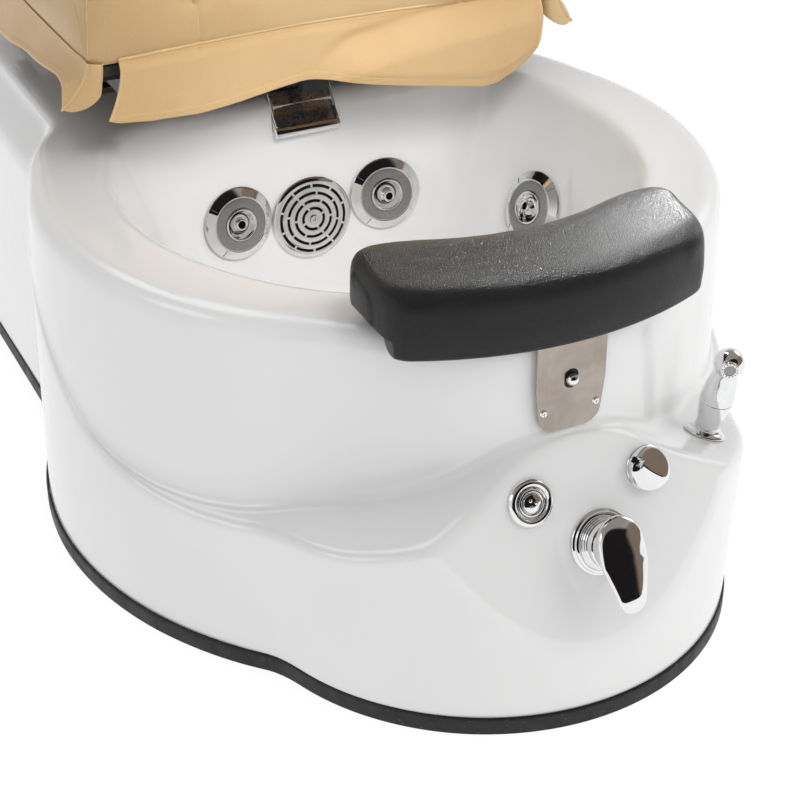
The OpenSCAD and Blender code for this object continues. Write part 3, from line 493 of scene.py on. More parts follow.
TAN = leather("tan_leather", srgb(207, 176, 130), srgb(197, 163, 116), srgb(218, 191, 148))
# painted light: a lighter copy of the same tan leather, standing for the light the apron and side flaps catch
TAN_LIT_COPY = leather("tan_leather_painted_lighter", srgb(216, 182, 134), srgb(208, 172, 122), srgb(227, 199, 155))
THREAD = build_powder("tan_thread", srgb(196, 154, 98), srgb(178, 136, 82), (0.6, 0.75), 2500.0)
PIPING = leather("tan_piping", srgb(224, 190, 140), srgb(206, 166, 112), srgb(236, 208, 160), 0.7)
ACRYLIC = build_acrylic()
CHROME = build_chrome()
CHROME_DARK = build_chrome("chrome_smoked", (0.44, 0.415, 0.395, 1), (0.24, 0.32), (0.38, 0.355, 0.335, 1))
SATIN = build_satin()
STAINLESS = build_stainless()
PU = build_pu()
RUBBER = build_rubber()
POWDER = build_powder("black_powder_coat", (0.022, 0.022, 0.024, 1), (0.036, 0.036, 0.038, 1))
BLACK_PLASTIC = build_powder("black_plastic", (0.02, 0.02, 0.022, 1), (0.035, 0.035, 0.037, 1), (0.42, 0.56), 700.0)
PIPE = build_powder("pipe_plastic", (0.72, 0.72, 0.70, 1), (0.64, 0.64, 0.62, 1), (0.38, 0.5), 600.0)
TRAY = build_powder("tray_plastic", (0.82, 0.82, 0.81, 1), (0.77, 0.77, 0.76, 1), (0.2, 0.32), 500.0)
BRASS = build_steel("brass", (0.72, 0.55, 0.28, 1), (0.58, 0.43, 0.21, 1))
GEAR = build_steel("grey_casting", (0.30, 0.30, 0.31, 1), (0.22, 0.22, 0.23, 1), (0.42, 0.6))
HOSE = build_ribbed_hose()
# painted shade: a near-black finish for discs standing in for the shade inside holes
DARK = build_powder("dark_inside", (0.006, 0.006, 0.007, 1), (0.012, 0.012, 0.012, 1), (0.6, 0.8), 400.0)

BY_SLOT = {
    "acrylic": ACRYLIC, "trim_rubber": RUBBER, "frame_steel": POWDER, "chrome": CHROME, "pipe_plastic": PIPE,
    "black_plastic": BLACK_PLASTIC, "brass": BRASS, "hose_steel": HOSE, "pad_black": PU, "stainless": STAINLESS,
    "gear_grey": GEAR, "tan_leather": TAN, "tray_plastic": TRAY,
}
SLOT = {s["node"]: s["material_slot"] for s in frame["record"]["subparts"]}
for n, o in NODES.items():
    o.data.materials.clear()
    o.data.materials.append(BY_SLOT[SLOT[n]])
    o.data.polygons.foreach_set("material_index", np.zeros(len(o.data.polygons), np.int32))


def soften_edges(*names, width=0.8, angle=32):
    """Small radii on a carried-over node's edges."""
    for n in names:
        o = NODES[n]
        w = o.modifiers.new("weld", "WELD")
        w.merge_threshold = 0.00002
        b = o.modifiers.new("edges", "BEVEL")
        b.width = width * 0.001
        b.segments = 2
        b.limit_method = "ANGLE"
        b.angle_limit = math.radians(angle)
        b.use_clamp_overlap = True
        b.harden_normals = False
        o.modifiers.new("normals", "WEIGHTED_NORMAL").keep_sharp = True


# ------------------------------------------------------------------ the moulded base
SHOULDER = [[0, 279], [4, 277], [8, 268], [11, 254], [14, 238], [18, 221], [23, 206], [28, 194], [33, 188], [37, 183], [44, 172], [52, 167], [60, 168], [68, 175], [76, 190], [80, 205], [85, 225], [90, 246], [95, 268], [105, 306], [115, 332], [125, 336], [180, 336]]
RIM_Z, BOWL_Z, REAR_Y, REAR_HALF = 391.0, 112.0, 850.0, 325.0
FACE_Z0, FACE_K = 1395.9, 2.4995
JETS = [[(-96.8, 173.5, 254.4), -83.6, 7.8], [(96.8, 173.5, 254.4), -96.4, 7.8], [(235.0, 45.7, 258.8), 191.0, 20.3], [(-235.0, 45.7, 258.8), -11.0, 20.3]]
SUCTION = [(0, 177.8, 240), -90, 5.5]
FACE_EL = 21.8
BUTTON = [(-56, -465, 233.6), -90, FACE_EL]
KNOB = [(72.8, -463.8, 236.6), -90, FACE_EL]
MIXER = [(12, -486, 181.2), -90, FACE_EL]
DOCK_P = (188, -396, 200)
DOCK = [(189.3, -395.7, 203.7), 11.6, 70.8]
SPRAY = [DOCK_P, -67.8, 77.1]


def smax(a, b, k):
    h = np.clip((k - np.abs(a - b)) / k, 0, None)
    return np.maximum(a, b) + h * h * k / 4


def smin(a, b, k):
    return -smax(-a, -b, k)


def f_ell(s, c, a, b, yc):
    A_ = s * s / (a * a) + c * c / (b * b)
    B_ = 2 * c * yc / (b * b)
    C_ = yc * yc / (b * b) - 1
    return (-B_ + np.sqrt(B_ * B_ - 4 * A_ * C_)) / (2 * A_)


def f_circ(s, c, yl, r):
    q = c * c * yl * yl - yl * yl + r * r
    return np.where(q < 0, 0, -c * yl + np.sqrt(np.maximum(q, 0)))


def f_rbox(s, c, w, yr, n):
    s = np.maximum(np.abs(s), 0.001)
    y = np.where(-c > 0, yr, 60.0)
    return ((s / w) ** n + (np.abs(c) / y) ** n) ** (-1 / n)


def f_flat(s, c, y):
    return y / np.maximum(-c, 1e-6)


def f_shoulder(d):
    X = np.array([p[0] for p in SHOULDER], float)
    Z = np.array([p[1] for p in SHOULDER], float)
    acc = np.zeros_like(d)
    K = np.linspace(-3.5, 3.5, 15)
    W = np.exp(-(K / 1.7) ** 2)
    for k, w in zip(K, W / W.sum()):
        acc += w * np.interp(np.abs(d + k), X, Z)
    return acc


def foot_outline(s, c):
    return smax(smax(f_ell(s, c, 392, 411, -20), f_circ(s, c, -261, 267), 14), f_rbox(s, c, REAR_HALF, REAR_Y, 14), 24)


def shell_corners(p, t):
    s, c = np.sin(np.radians(p)), np.cos(np.radians(p))
    d = np.abs(((p + 540) % 360) - 180)
    o = 0 * p
    F = foot_outline(s, c) - t
    F2 = smax(smax(f_ell(s, c, 386, 405, -20), f_circ(s, c, -260, 266), 24), f_rbox(s, c, REAR_HALF - 1, REAR_Y - 3, 14), 24) + 12 * np.exp(-((d - 33) / 13) ** 2) - t
    T = smax(smax(f_ell(s, c, 377, 385, -4), f_circ(s, c, -194, 236), 24), f_rbox(s, c, 288, REAR_Y - 40, 14), 16) - t
    TV = smax(smax(f_ell(s, c, 381, 389, -4), f_circ(s, c, -195, 237), 24), f_rbox(s, c, 294, REAR_Y - 34, 14), 16) - t
    zS = f_shoulder(d) - t
    zR = RIM_Z - t + o
    w = sstep(104, 124, d)
    zV = (zS + 4 + 3 * sstep(6, 20, d)) * (1 - w) + (RIM_Z - 16 - t) * w
    off = t * math.sqrt(1 + FACE_K ** 2)
    zP = np.where(c > 0.3, FACE_Z0 - FACE_K * F2 * c - off, 999.0)
    rP = np.where(c > 0.3, -((zS + off - FACE_Z0) / FACE_K) / np.maximum(c, 0.3), 9999.0)
    k1z = smin(zP, zS - 22, 16)
    k1r = F + (F2 - F) * np.clip(k1z / zS, 0, 1)
    k2r = np.maximum(smin(F2, rP, 12), TV + 1.5)
    I = smin(f_ell(s, c, 290, 312, -4), f_flat(s, c, 193), 46) + t
    B = smin(f_ell(s, c, 188, 186, -4), f_flat(s, c, 166), 30) + t
    return [(F, 2 + o, o), (k1r, k1z, 14 + o), (k2r, zS, 18 + o), (TV, zV, 16 + o), (T, zR, 27 + o), (I, zR, 14 + 10 * sstep(120, 150, d)), (B, BOWL_Z - t + o, 60 + o), (o, BOWL_Z - 4 - t + o, o)]


def shell_section(C, n, s):
    P = [np.stack([a, b], -1) for a, b, _ in C]
    D = [x[2] for x in C]

    def away(b, a, d):
        l = np.maximum(np.linalg.norm(P[a] - P[b], axis=-1), 1e-3)
        u = (np.minimum(d, l * 0.49) / l)[:, None]
        return P[b] * (1 - u) + P[a] * u

    m = len(P)
    rows, L = [P[0]], P[0]
    for i in range(1, m - 1):
        S, Q = away(i, i - 1, D[i]), away(i, i + 1, D[i])
        for j in range(1, s[i - 1] + 1):
            u = j / (s[i - 1] + 1)
            rows.append(L * (1 - u) + S * u)
        for j in range(n + 1):
            u = j / n
            a, b = S * (1 - u) + P[i] * u, P[i] * (1 - u) + Q * u
            rows.append(a * (1 - u) + b * u)
        L = Q
    for j in range(1, s[m - 2] + 1):
        u = j / (s[m - 2] + 1)
        rows.append(L * (1 - u) + P[-1] * u)
    rows.append(P[-1])
    return np.stack(rows, 1)


def shell_grid(p, t, n, s):
    G = shell_section(shell_corners(p, t), n, s)
    a = np.radians(p)[:, None]
    return np.stack([G[..., 0] * np.sin(a), -G[..., 0] * np.cos(a), G[..., 1]], -1)


def relax_rings(G, width, rounds):
    """Evens out kinks along the section without moving the outline: each section's points are blended with their neighbours round the tub."""
    for _ in range(rounds):
        G = G * 0.5 + (np.roll(G, 1, 0) + np.roll(G, -1, 0)) * 0.25
    return G


def seat_fittings(V, nrm_sign=1.0):
    """Lays the bowl's wall flat under each jet, so that its flange sits on it all round."""
    for p, az, el in JETS:
        M = np.array(at(p, az, el), float)
        L = (V - M[:3, 3]) @ M[:3, :3]
        r = np.hypot(L[:, 0], L[:, 1])
        w = (1 - sstep(47, 74, r)) * (np.abs(L[:, 2]) < 26)
        lift = -L[:, 2] * w
        V = V + np.outer(lift, M[:3, 2])
    return V


def make_shell():
    n = 480
    p = np.arange(n) * 360.0 / n
    Go = shell_grid(p, 0.0, 10, [26, 2, 5, 16, 8, 26, 16])
    Gi = shell_grid(p, 5.0, 3, [8, 0, 1, 5, 2, 10, 5])
    mo, mi = Go.shape[1] - 1, Gi.shape[1] - 1
    Vo = Go[:, :-1].reshape(-1, 3)
    Vi = Gi[:, :-1].reshape(-1, 3)
    base = Vo.copy()
    Vo = seat_fittings(Vo)
    # the inner skin follows the seats too
    sh = np.zeros(len(Vi))
    for q, az, el in JETS:
        M = np.array(at(q, az, el), float)
        L = (Vi - M[:3, 3]) @ M[:3, :3]
        r = np.hypot(L[:, 0], L[:, 1])
        w = (1 - sstep(47, 74, r)) * (np.abs(L[:, 2] + 5) < 24)
        Vi = Vi + np.outer((-5 - L[:, 2]) * w, M[:3, 2])
    V = np.concatenate([Vo, Vi, [[0, 0, BOWL_Z - 4], [0, 0, BOWL_Z - 9]]])
    b, co, ci = n * mo, n * (mo + mi), n * (mo + mi) + 1
    F = []
    for i in range(n):
        k = (i + 1) % n
        for j in range(mo - 1):
            F.append((i * mo + j, k * mo + j, k * mo + j + 1, i * mo + j + 1))
        F.append((i * mo + mo - 1, k * mo + mo - 1, co))
        for j in range(mi - 1):
            F.append((b + i * mi + j, b + i * mi + j + 1, b + k * mi + j + 1, b + k * mi + j))
        F.append((b + i * mi + mi - 1, ci, b + k * mi + mi - 1))
        F.append((i * mo, b + i * mi, b + k * mi, k * mo))
    ob = add_mesh("moulded_base", V, F, ACRYLIC, None, None)
    fix_normals(ob)
    # cutters for the fittings' holes
    parts = []

    def cyl(M, r, z0, z1, k=64):
        v, f = revolve([(0, z0), (r, z0), (r, z1), (0, z1)], k)
        parts.append((xf(v, M), f))

    for q in JETS:
        cyl(at(*q), 31, -26, 26)
    cyl(at(*SUCTION), 40, -26, 26)
    cyl(Matrix.Translation((0, 0, BOWL_Z)), 24, -25, 25)
    cyl(at(*BUTTON), 17, -20, 20)
    cyl(at(*KNOB), 17, -20, 20)
    cyl(at(*MIXER), 20, -20, 20)
    cyl(Matrix.Translation(DOCK_P), 14, -20, 20)
    cyl(at((0, -425, 341), -90, 0), 11, -20, 20)

    def block(x0, x1, y0, y1, z0, z1):
        v = [(x, y, z) for x in (x0, x1) for y in (y0, y1) for z in (z0, z1)]
        parts.append((np.array(v, float), [(0, 1, 3, 2), (4, 6, 7, 5), (0, 4, 5, 1), (2, 3, 7, 6), (0, 2, 6, 4), (1, 5, 7, 3)]))

    block(-150, 150, REAR_Y - 20, REAR_Y + 40, 60, 280)
    block(226, 254, REAR_Y - 60, REAR_Y + 20, 79, 101)
    prof = SPOUT_PROFILE(0.5)
    k = len(prof)
    v = [(x, y, z) for x in (-41.5, 41.5) for y, z in prof]
    f = [tuple(range(k)), tuple(range(2 * k - 1, k - 1, -1))] + [(i, k + i, k + (i + 1) % k, (i + 1) % k) for i in range(k)]
    parts.append((np.array(v, float), f))
    cv, cf = join_parts(parts)
    cut = add_mesh("cutters", cv, cf, ACRYLIC, None, None)
    fix_normals(cut)
    mod = ob.modifiers.new("holes", "BOOLEAN")
    mod.operation = "DIFFERENCE"
    mod.object = cut
    mod.solver = "MANIFOLD"
    dg = bpy.context.evaluated_depsgraph_get()
    me = bpy.data.meshes.new_from_object(ob.evaluated_get(dg))
    if len(me.polygons) < 1000:
        mod.solver = "EXACT"
        dg = bpy.context.evaluated_depsgraph_get()
        me = bpy.data.meshes.new_from_object(ob.evaluated_get(dg))
    ob.modifiers.clear()
    ob.data = me
    me.materials.clear()
    me.materials.append(ACRYLIC)
    bpy.data.objects.remove(cut)
    smooth(ob, 38)
    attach(ob, "base")
    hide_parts("base_shell", "foot_bowl")
    return ob


def SPOUT_PROFILE(g):
    P = np.array([[216, 392], [212, 396], [206, 396], [190, 372], [177, 359], [175, 354], [177, 349], [182, 348], [188, 353], [203, 372], [212, 384], [216, 386]], float)
    if g == 0:
        return P
    c = P.mean(0)
    out = []
    m = len(P)
    for i in range(m):
        a, p, b = P[i - 1], P[i], P[(i + 1) % m]
        e1, e2 = (p - a) / np.linalg.norm(p - a), (b - p) / np.linalg.norm(b - p)
        n1, n2 = np.array([e1[1], -e1[0]]), np.array([e2[1], -e2[0]])
        nn = n1 + n2
        nn = nn / np.linalg.norm(nn)
        out.append(p - nn * g / max(0.5, nn @ n1) * SPOUT_SIGN)
    return np.array(out)


def _area(P):
    return 0.5 * sum(P[i - 1][0] * P[i][1] - P[i][0] * P[i - 1][1] for i in range(len(P)))


SPOUT_SIGN = 1.0
SPOUT_SIGN = 1.0 if abs(_area(SPOUT_PROFILE(1.0))) > abs(_area(SPOUT_PROFILE(0))) else -1.0
shell = make_shell()

# black rubber kick trim with a rounded top edge
pt = np.arange(720) * 0.5
sn, cs = np.sin(np.radians(pt)), np.cos(np.radians(pt))
R0 = foot_outline(sn, cs)
tp = rounded([(0.3, 0.2), (2.6, 0.0), (3.0, 1.0), (3.0, 17.6), (1.9, 19.8), (0.3, 19.8)], [0.2, 0.6, 0.6, 1.2, 1.2, 0.2], 3)
TV_, TF_ = [], []
for i in range(720):
    for g, z in tp:
        wob = 0.22 * noise.noise(Vector((sn[i] * 6, cs[i] * 6, z * 0.02)))
        TV_.append(((R0[i] + g + wob * (g > 1)) * sn[i], -(R0[i] + g + wob * (g > 1)) * cs[i], z))
m = len(tp)
for i in range(720):
    k = (i + 1) % 720
    for j in range(m):
        l = (j + 1) % m
        TF_.append((i * m + j, k * m + j, k * m + l, i * m + l))
trim = add_mesh("kick_trim_strip", TV_, TF_, RUBBER, "base", 50)
fix_normals(trim)
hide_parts("kick_trim")

# ------------------------------------------------------------------ bowl fittings
for i, q in enumerate(JETS):
    M = at(*q)
    V = lathe(f"jet_bezel_{i}", [(44.2, 2.45), (45.0, 3.2), (44.4, 4.3), (34.6, 9.9), (33.9, 10.2), (33.2, 9.4), (25.9, 9.9), (25.8, 2.6)], M, CHROME, "base", 128, [0.3, 0.5, 0.8, 0.5, 0.4, 0.4, 0.3, 0.3])
    if i == 0:
        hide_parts("jet_bezels")
    lathe(f"jet_face_{i}", [(33.0, 9.3), (31.0, 10.0), (21.4, 11.2), (20.4, 10.6), (20.3, 8.0), (33.0, 7.0)], M, SATIN, "base", 96, 0.5)
    lathe(f"jet_socket_{i}", [(20.2, 8.0), (20.1, 11.6), (18.9, 12.6), (17.6, 11.9), (15.2, 7.6), (12.9, 4.6), (12.6, 1.0), (20.0, 1.0)], M, CHROME, "base", 96, 0.8, True, 60)
    # eyeball nozzle, turned a few degrees
    eye = M @ Matrix.Rotation(math.radians((5, -6, 8, -7)[i]), 4, "X") @ Matrix.Rotation(math.radians((-6, 4, -5, 6)[i]), 4, "Y")
    ball = [(12.2 * math.sin(t), 2.0 + 12.2 * math.cos(t)) for t in np.linspace(math.radians(34), math.radians(125), 18)]
    prof = [(4.4, -6.0), (4.4, 14.6), (5.3, 15.3), (7.0, 14.9), (7.4, 13.6), (7.2, 12.2)] + ball[1:] + [(4.6, -6.0)]
    v, f = revolve(rounded(prof, 0.4, 2), 64, True)
    nz = add_mesh(f"jet_nozzle_{i}", xf(v, eye), f, CHROME, "base", 55)
    fix_normals(nz)
    if i == 0:
        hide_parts("jet_nozzles")
    # painted shade: a black disc inside the nozzle's bore
    v, f = revolve([(0, 3.0), (4.5, 3.0)], 32)
    add_mesh(f"jet_hole_{i}", xf(v, eye), f, DARK, "base", 60)
    # four thin registration notches on the bezel
    parts = []
    for k in range(4):
        a = math.radians(45 + 90 * k + 8)
        u, w_ = np.array([math.cos(a), math.sin(a)]), np.array([-math.sin(a), math.cos(a)])
        pth = [np.r_[u * r, z] for r, z in ((35.6, 9.7), (39.5, 7.5), (43.6, 5.15))]
        parts.append(tube(np.array(pth), 0.35, 6))
    v, f = join_parts(parts)
    add_mesh(f"jet_marks_{i}", xf(v, M), f, SATIN, "base", 60)

# suction cover: four slotted rings inside a domed rim
M = at(*SUCTION)
parts = []


def ring_part(r0, r1, z, zr=1.6, n=128):
    return revolve(rounded([(r0, z - 3.0), (r0, z), (r1, z - (0.3 if r1 > 38 else 0.05)), (r1, z - 3.0)], [0.1, 0.55, 0.55, 0.1], 3), n, True)


def dome_z(r):
    return 8.7 - 0.00125 * r * r


RIBS = [(11.9 - 7.0, 11.8), (15.0, 21.2), (24.4, 30.6), (33.8, 39.6)]
for r0, r1 in RIBS:
    parts.append(revolve(rounded([(r0, dome_z(r0) - 3.2), (r0, dome_z(r0)), (r1, dome_z(r1)), (r1, dome_z(r1) - 3.2)], [0.1, 0.5, 0.5, 0.1], 3), 128, True))
parts.append(revolve(rounded([(42.8, dome_z(42.8) - 3.4), (42.8, dome_z(42.8) - 0.3), (44.2, 6.6), (47.6, 5.9), (50.4, 4.3), (51.6, 2.9), (51.2, 2.1), (47.0, 2.3)], [0.1, 0.7, 1.2, 1.4, 1.0, 0.5, 0.3, 0.2], 4), 160, True))
for rc, cnt, half in ((13.4, 4, 2.2), (22.8, 6, 2.2), (32.2, 8, 2.2), (41.2, 10, 2.2)):
    for k in range(cnt):
        a = math.radians((k + rc / 40) * 360 / cnt - 90 / rc + 0)
        u, w_ = np.array([math.cos(a), math.sin(a)]), np.array([-math.sin(a), math.cos(a)])
        z = dome_z(rc)
        box = [(u * (rc + sx * half) + w_ * sy * 1.35) for sx in (-1, 1) for sy in (-1, 1)]
        vv = [np.r_[box[i], zz] for i in (0, 1, 3, 2) for zz in (z - 3.0, z - 0.25)]
        ff = [(0, 1, 3, 2), (2, 3, 5, 4), (4, 5, 7, 6), (6, 7, 1, 0), (1, 7, 5, 3), (0, 2, 4, 6)]
        parts.append((np.array(vv), ff))
v, f = join_parts(parts)
grille = add_mesh("suction_grille", xf(v, M), f, CHROME, "base", 40)
fix_normals(grille)
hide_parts("suction_cover")
# painted shade: a black disc behind the grille's slots
v, f = revolve([(0, 2.6), (48.0, 2.2)], 64)
add_mesh("suction_dark", xf(v, M), f, DARK, "base", 60)
scr = lathe("suction_bolt", [(0, 6.2), (2.6, 6.2), (2.6, 8.0), (4.6, 8.6), (4.8, 9.8), (3.9, 10.6), (2.5, 10.6), (2.2, 8.2), (0, 8.2)], M, CHROME, "base", 48, 0.3, False)
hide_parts("suction_screw")

# waterfall spout: a folded chrome tray with raised edges and a rounded lip
prof = rounded(SPOUT_PROFILE(0), [1.0, 1.5, 3.0, 5.0, 3.5, 2.2, 2.2, 2.0, 3.0, 5.0, 3.0, 1.0], 5)
k = len(prof)
xs = [-41.0, -40.6, -39.8, 0.0, 39.8, 40.6, 41.0]
cen = np.array([196.0, 372.0])
V, F = [], []
for x in xs:
    sh = 1.0 - (0.9 if abs(x) > 40.9 else (0.25 if abs(x) > 40.5 else 0.0)) * 0.12
    for i in range(k):
        a, b = prof[i - 1], prof[(i + 1) % k]
        t = (b - a) / max(np.linalg.norm(b - a), 1e-6)
        nn = np.array([t[1], -t[0]]) * SPOUT_SIGN
        ins = 0.55 if abs(x) > 40.9 else (0.16 if abs(x) > 40.5 else 0.0)
        y, z = prof[i] + nn * ins
        V.append((x, y, z))
for i in range(len(xs) - 1):
    for j in range(k):
        l = (j + 1) % k
        F.append((i * k + j, i * k + l, (i + 1) * k + l, (i + 1) * k + j))
F.append(tuple(range(k)))
F.append(tuple(range((len(xs) - 1) * k, len(xs) * k)))
spout = add_mesh("spout_body", V, F, CHROME, "base", 50)
fix_normals(spout)
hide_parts("waterfall_spout")
# the raised edges follow the slope on each side, and the smoked top plate lies between them
slope = resample(np.array([[214.0, 396.4], [207.0, 396.2], [202.5, 390.4], [190.2, 372.4], [179.6, 361.8]]), 24)
for s_, nm in ((-1, "spout_edge_left"), (1, "spout_edge_right")):
    pth = np.array([(s_ * 38.9, y - 0.2, z + 0.55) for y, z in slope])
    v, f = tube(pth, 1.55, 12)
    add_mesh(nm, v, f, CHROME, "base", 60)
V, F = [], []
for y, z in slope:
    for x in (-37.6, -37.0, 37.0, 37.6):
        dn = 0.9 if abs(x) > 37.3 else 0.0
        V.append((x, y - 0.55 + dn * 0.5, z + 0.75 - dn * 0.8))
for i in range(len(slope) - 1):
    for j in range(3):
        F.append((i * 4 + j, i * 4 + j + 1, (i + 1) * 4 + j + 1, (i + 1) * 4 + j))
add_mesh("spout_plate", V, F, CHROME_DARK, "base", 70)
lip = [(x, 179.6 - 0.9 * (abs(x) > 38), 354.2) for x in np.linspace(-40.0, 40.0, 41)]
v, f = tube(np.array(lip), [4.3 - 1.1 * max(0.0, (abs(q[0]) - 36.0) / 4.0) ** 2 for q in lip], 20)
add_mesh("spout_lip", v, f, CHROME, "base", 60)

# drain flange and plug
M = Matrix.Translation((0, 0, BOWL_Z - 4))
dr = lathe("drain_ring", [(18.4, -20), (18.4, 2.4), (20.4, 3.0), (20.8, 4.6), (28, 5.6), (33.5, 4.8), (35, 3.2), (34.2, 2.3), (23.4, 1.3), (23.4, -20)], M, CHROME, "base", 96, 0.5)
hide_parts("drain_flange")
dp = lathe("drain_stopper_cap", [(0, 3.2), (19.4, 3.2), (20.0, 4.8), (17.4, 8.2), (8, 10.0), (0, 10.2)], M, CHROME, "drain_stopper", 96, [0, 0.4, 0.8, 2.0, 3.0, 0], False, 50)
fix_normals(dp)
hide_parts("drain_plug")

# ------------------------------------------------------------------ console fittings
M = at(*MIXER)
es = lathe("mixer_flange", [(21, 0.9), (32.4, 0.9), (33.5, 1.8), (33.1, 3.6), (30.6, 5.0), (30.2, 6.6), (28.4, 7.4), (27.8, 7.6), (21, 7.7)], M, CHROME, "base", 128, [0.2, 0.5, 0.6, 1.0, 0.5, 0.6, 0.5, 0.4, 0.2], True, 45)
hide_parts("mixer_escutcheon")
col = lathe("mixer_rings", [(13.1, 8.3), (26.6, 8.3), (27.0, 9.0), (26.6, 10.0), (25.6, 10.4), (25.5, 11.4), (25.9, 12.0), (25.5, 12.8), (24.6, 13.2), (24.5, 14.0), (24.9, 14.6), (24.5, 15.4), (23.3, 16.0), (22.9, 22.0), (21.0, 23.2), (13.1, 23.2)], M, CHROME, "mixer_swivel", 128, 0.4, True, 50)
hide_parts("mixer_collar")
hub = [(0, 24.8), (22.2, 24.8), (23.2, 25.6), (23.4, 31.0), (23.0, 35.0)]
# the lever: one lofted spoon, wide over the hub and narrowing to a rounded tip
ST = np.array([  # x down the face, z out, half width, upper half height, lower half height
    (-31.2, 34.4, 1.0, 0.8, 0.8), (-30.4, 35.2, 8.0, 3.2, 3.2), (-27.5, 36.2, 14.5, 5.6, 6.0), (-22.0, 37.6, 20.0, 7.8, 8.6), (-14.0, 39.2, 23.6, 9.2, 10.4),
    (-6.0, 40.2, 24.8, 9.3, 10.8), (2.0, 40.9, 25.2, 9.0, 9.6), (9.0, 42.0, 25.0, 8.1, 8.6), (15.0, 43.4, 24.4, 6.9, 7.0), (21.0, 44.6, 23.0, 5.9, 5.6), (28.0, 45.8, 21.0, 5.0, 4.6), (36.0, 46.9, 18.6, 4.3, 3.8),
    (44.0, 47.8, 16.4, 3.7, 3.2), (50.0, 48.4, 14.8, 3.1, 2.8), (55.0, 48.5, 12.8, 2.5, 2.4), (59.5, 47.9, 9.0, 1.8, 1.9), (61.6, 47.3, 4.8, 1.2, 1.3), (62.2, 46.9, 0.8, 0.5, 0.5)])
SS = spline(ST, 64)
V, F = [], []
nk = 40
for i, (x, z, hw, hu, hl) in enumerate(SS):
    j0, j1 = max(i - 1, 0), min(i + 1, len(SS) - 1)
    t = np.array([SS[j1][0] - SS[j0][0], SS[j1][1] - SS[j0][1]])
    t /= np.linalg.norm(t)
    nx, nz_ = -t[1], t[0]
    for k in range(nk):
        a = 2 * math.pi * k / nk
        ca, sa = math.cos(a), math.sin(a)
        w = abs(hw) * np.sign(ca) * abs(ca) ** 0.86
        h = (abs(hu) * abs(sa) ** 0.92) if sa >= 0 else -(abs(hl) * abs(sa) ** 0.8)
        V.append((x + nx * h, w, z + nz_ * h))
for i in range(len(SS) - 1):
    for k in range(nk):
        k2 = (k + 1) % nk
        F.append((i * nk + k, i * nk + k2, (i + 1) * nk + k2, (i + 1) * nk + k))
F.append(tuple(range(nk)))
F.append(tuple(range((len(SS) - 1) * nk, len(SS) * nk)))
lever = add_mesh("mixer_spoon", xf(V, M), F, CHROME, "mixer_handle", 70)
fix_normals(lever)
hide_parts("mixer_lever")
hubo = lathe("mixer_hub", [(0, 25.0), (21.6, 25.0), (22.9, 25.8), (23.3, 27.0), (23.4, 36.0), (22.0, 38.0), (0, 38.0)], M, CHROME, "mixer_handle", 128, [0, 0.4, 0.6, 0.6, 0.8, 0.8, 0], False, 50)
fix_normals(hubo)

M = at(*BUTTON)
bz = lathe("button_bezel", [(14.3, 0.6), (14.3, 2.6), (15.6, 3.2), (16.4, 5.0), (18.6, 6.4), (21.4, 5.9), (23.4, 3.4), (24.0, 1.6), (23.8, 0.6), (16.8, 0.5)], M, CHROME, "base", 128, [0.2, 0.4, 0.5, 1.2, 1.6, 1.6, 0.8, 0.5, 0.3, 0.2], True, 45, 4)
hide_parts("air_button_bezel")
bt = lathe("button_cap", [(0, -3.0), (13.9, -3.0), (14.0, 3.6), (13.0, 4.8), (11.4, 5.0), (10.5, 3.9), (9.7, 3.9), (9.0, 5.2), (5.4, 6.0), (0, 6.2)], M, CHROME, "air_button", 96, [0, 0.3, 0.8, 0.6, 0.5, 0.4, 0.4, 0.6, 1.5, 0], False, 45)
fix_normals(bt)
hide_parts("air_button")
parts = []
for k in range(3):  # three small raised bubbles, a plain mark for the air switch
    a = math.radians(90 + 120 * k)
    v, f = revolve([(1.9 * math.sin(t), 1.0 * math.cos(t)) for t in np.linspace(0, math.pi / 2, 6)], 20)
    parts.append((v + np.array([3.6 * math.cos(a), 3.6 * math.sin(a), 5.8]), f))
v, f = join_parts(parts)
add_mesh("button_mark", xf(v, M), f, CHROME, "air_button", 60)

M = at(*KNOB)
db = lathe("knob_bezel", [(9, 0.5), (21.9, 0.5), (22.5, 1.2), (22.4, 2.6), (21.6, 3.5), (9, 3.5)], M, CHROME, "base", 128, 0.5, True, 45)
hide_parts("diverter_bezel")
# the knob: a skirted disc whose top folds along a curved ridge, with an index notch
nr, na = 44, 144
V, F = [], []
RK = 21.6


def knob_top(x, y):
    a = math.radians(-42)
    u = x * math.cos(a) + y * math.sin(a)      # across the ridge
    w = -x * math.sin(a) + y * math.cos(a)     # along it
    r = math.hypot(x, y)
    ridge = 2.6 - 0.0065 * w * w
    du = u - ridge
    z = 15.2 - 0.30 * (math.sqrt(du * du + 2.0) - 1.41) * (1.0 if du < 0 else 0.52)
    z -= 2.3 * max(0, (r - 13) / 8.6) ** 2.2
    aw = w + 17.5
    if abs(u - 1.6) < 4.2 and w < -12.0:
        z -= 6.4 * sstep(4.2, 2.6, abs(u - 1.6)) * sstep(-12.0, -14.2, w)
    return z


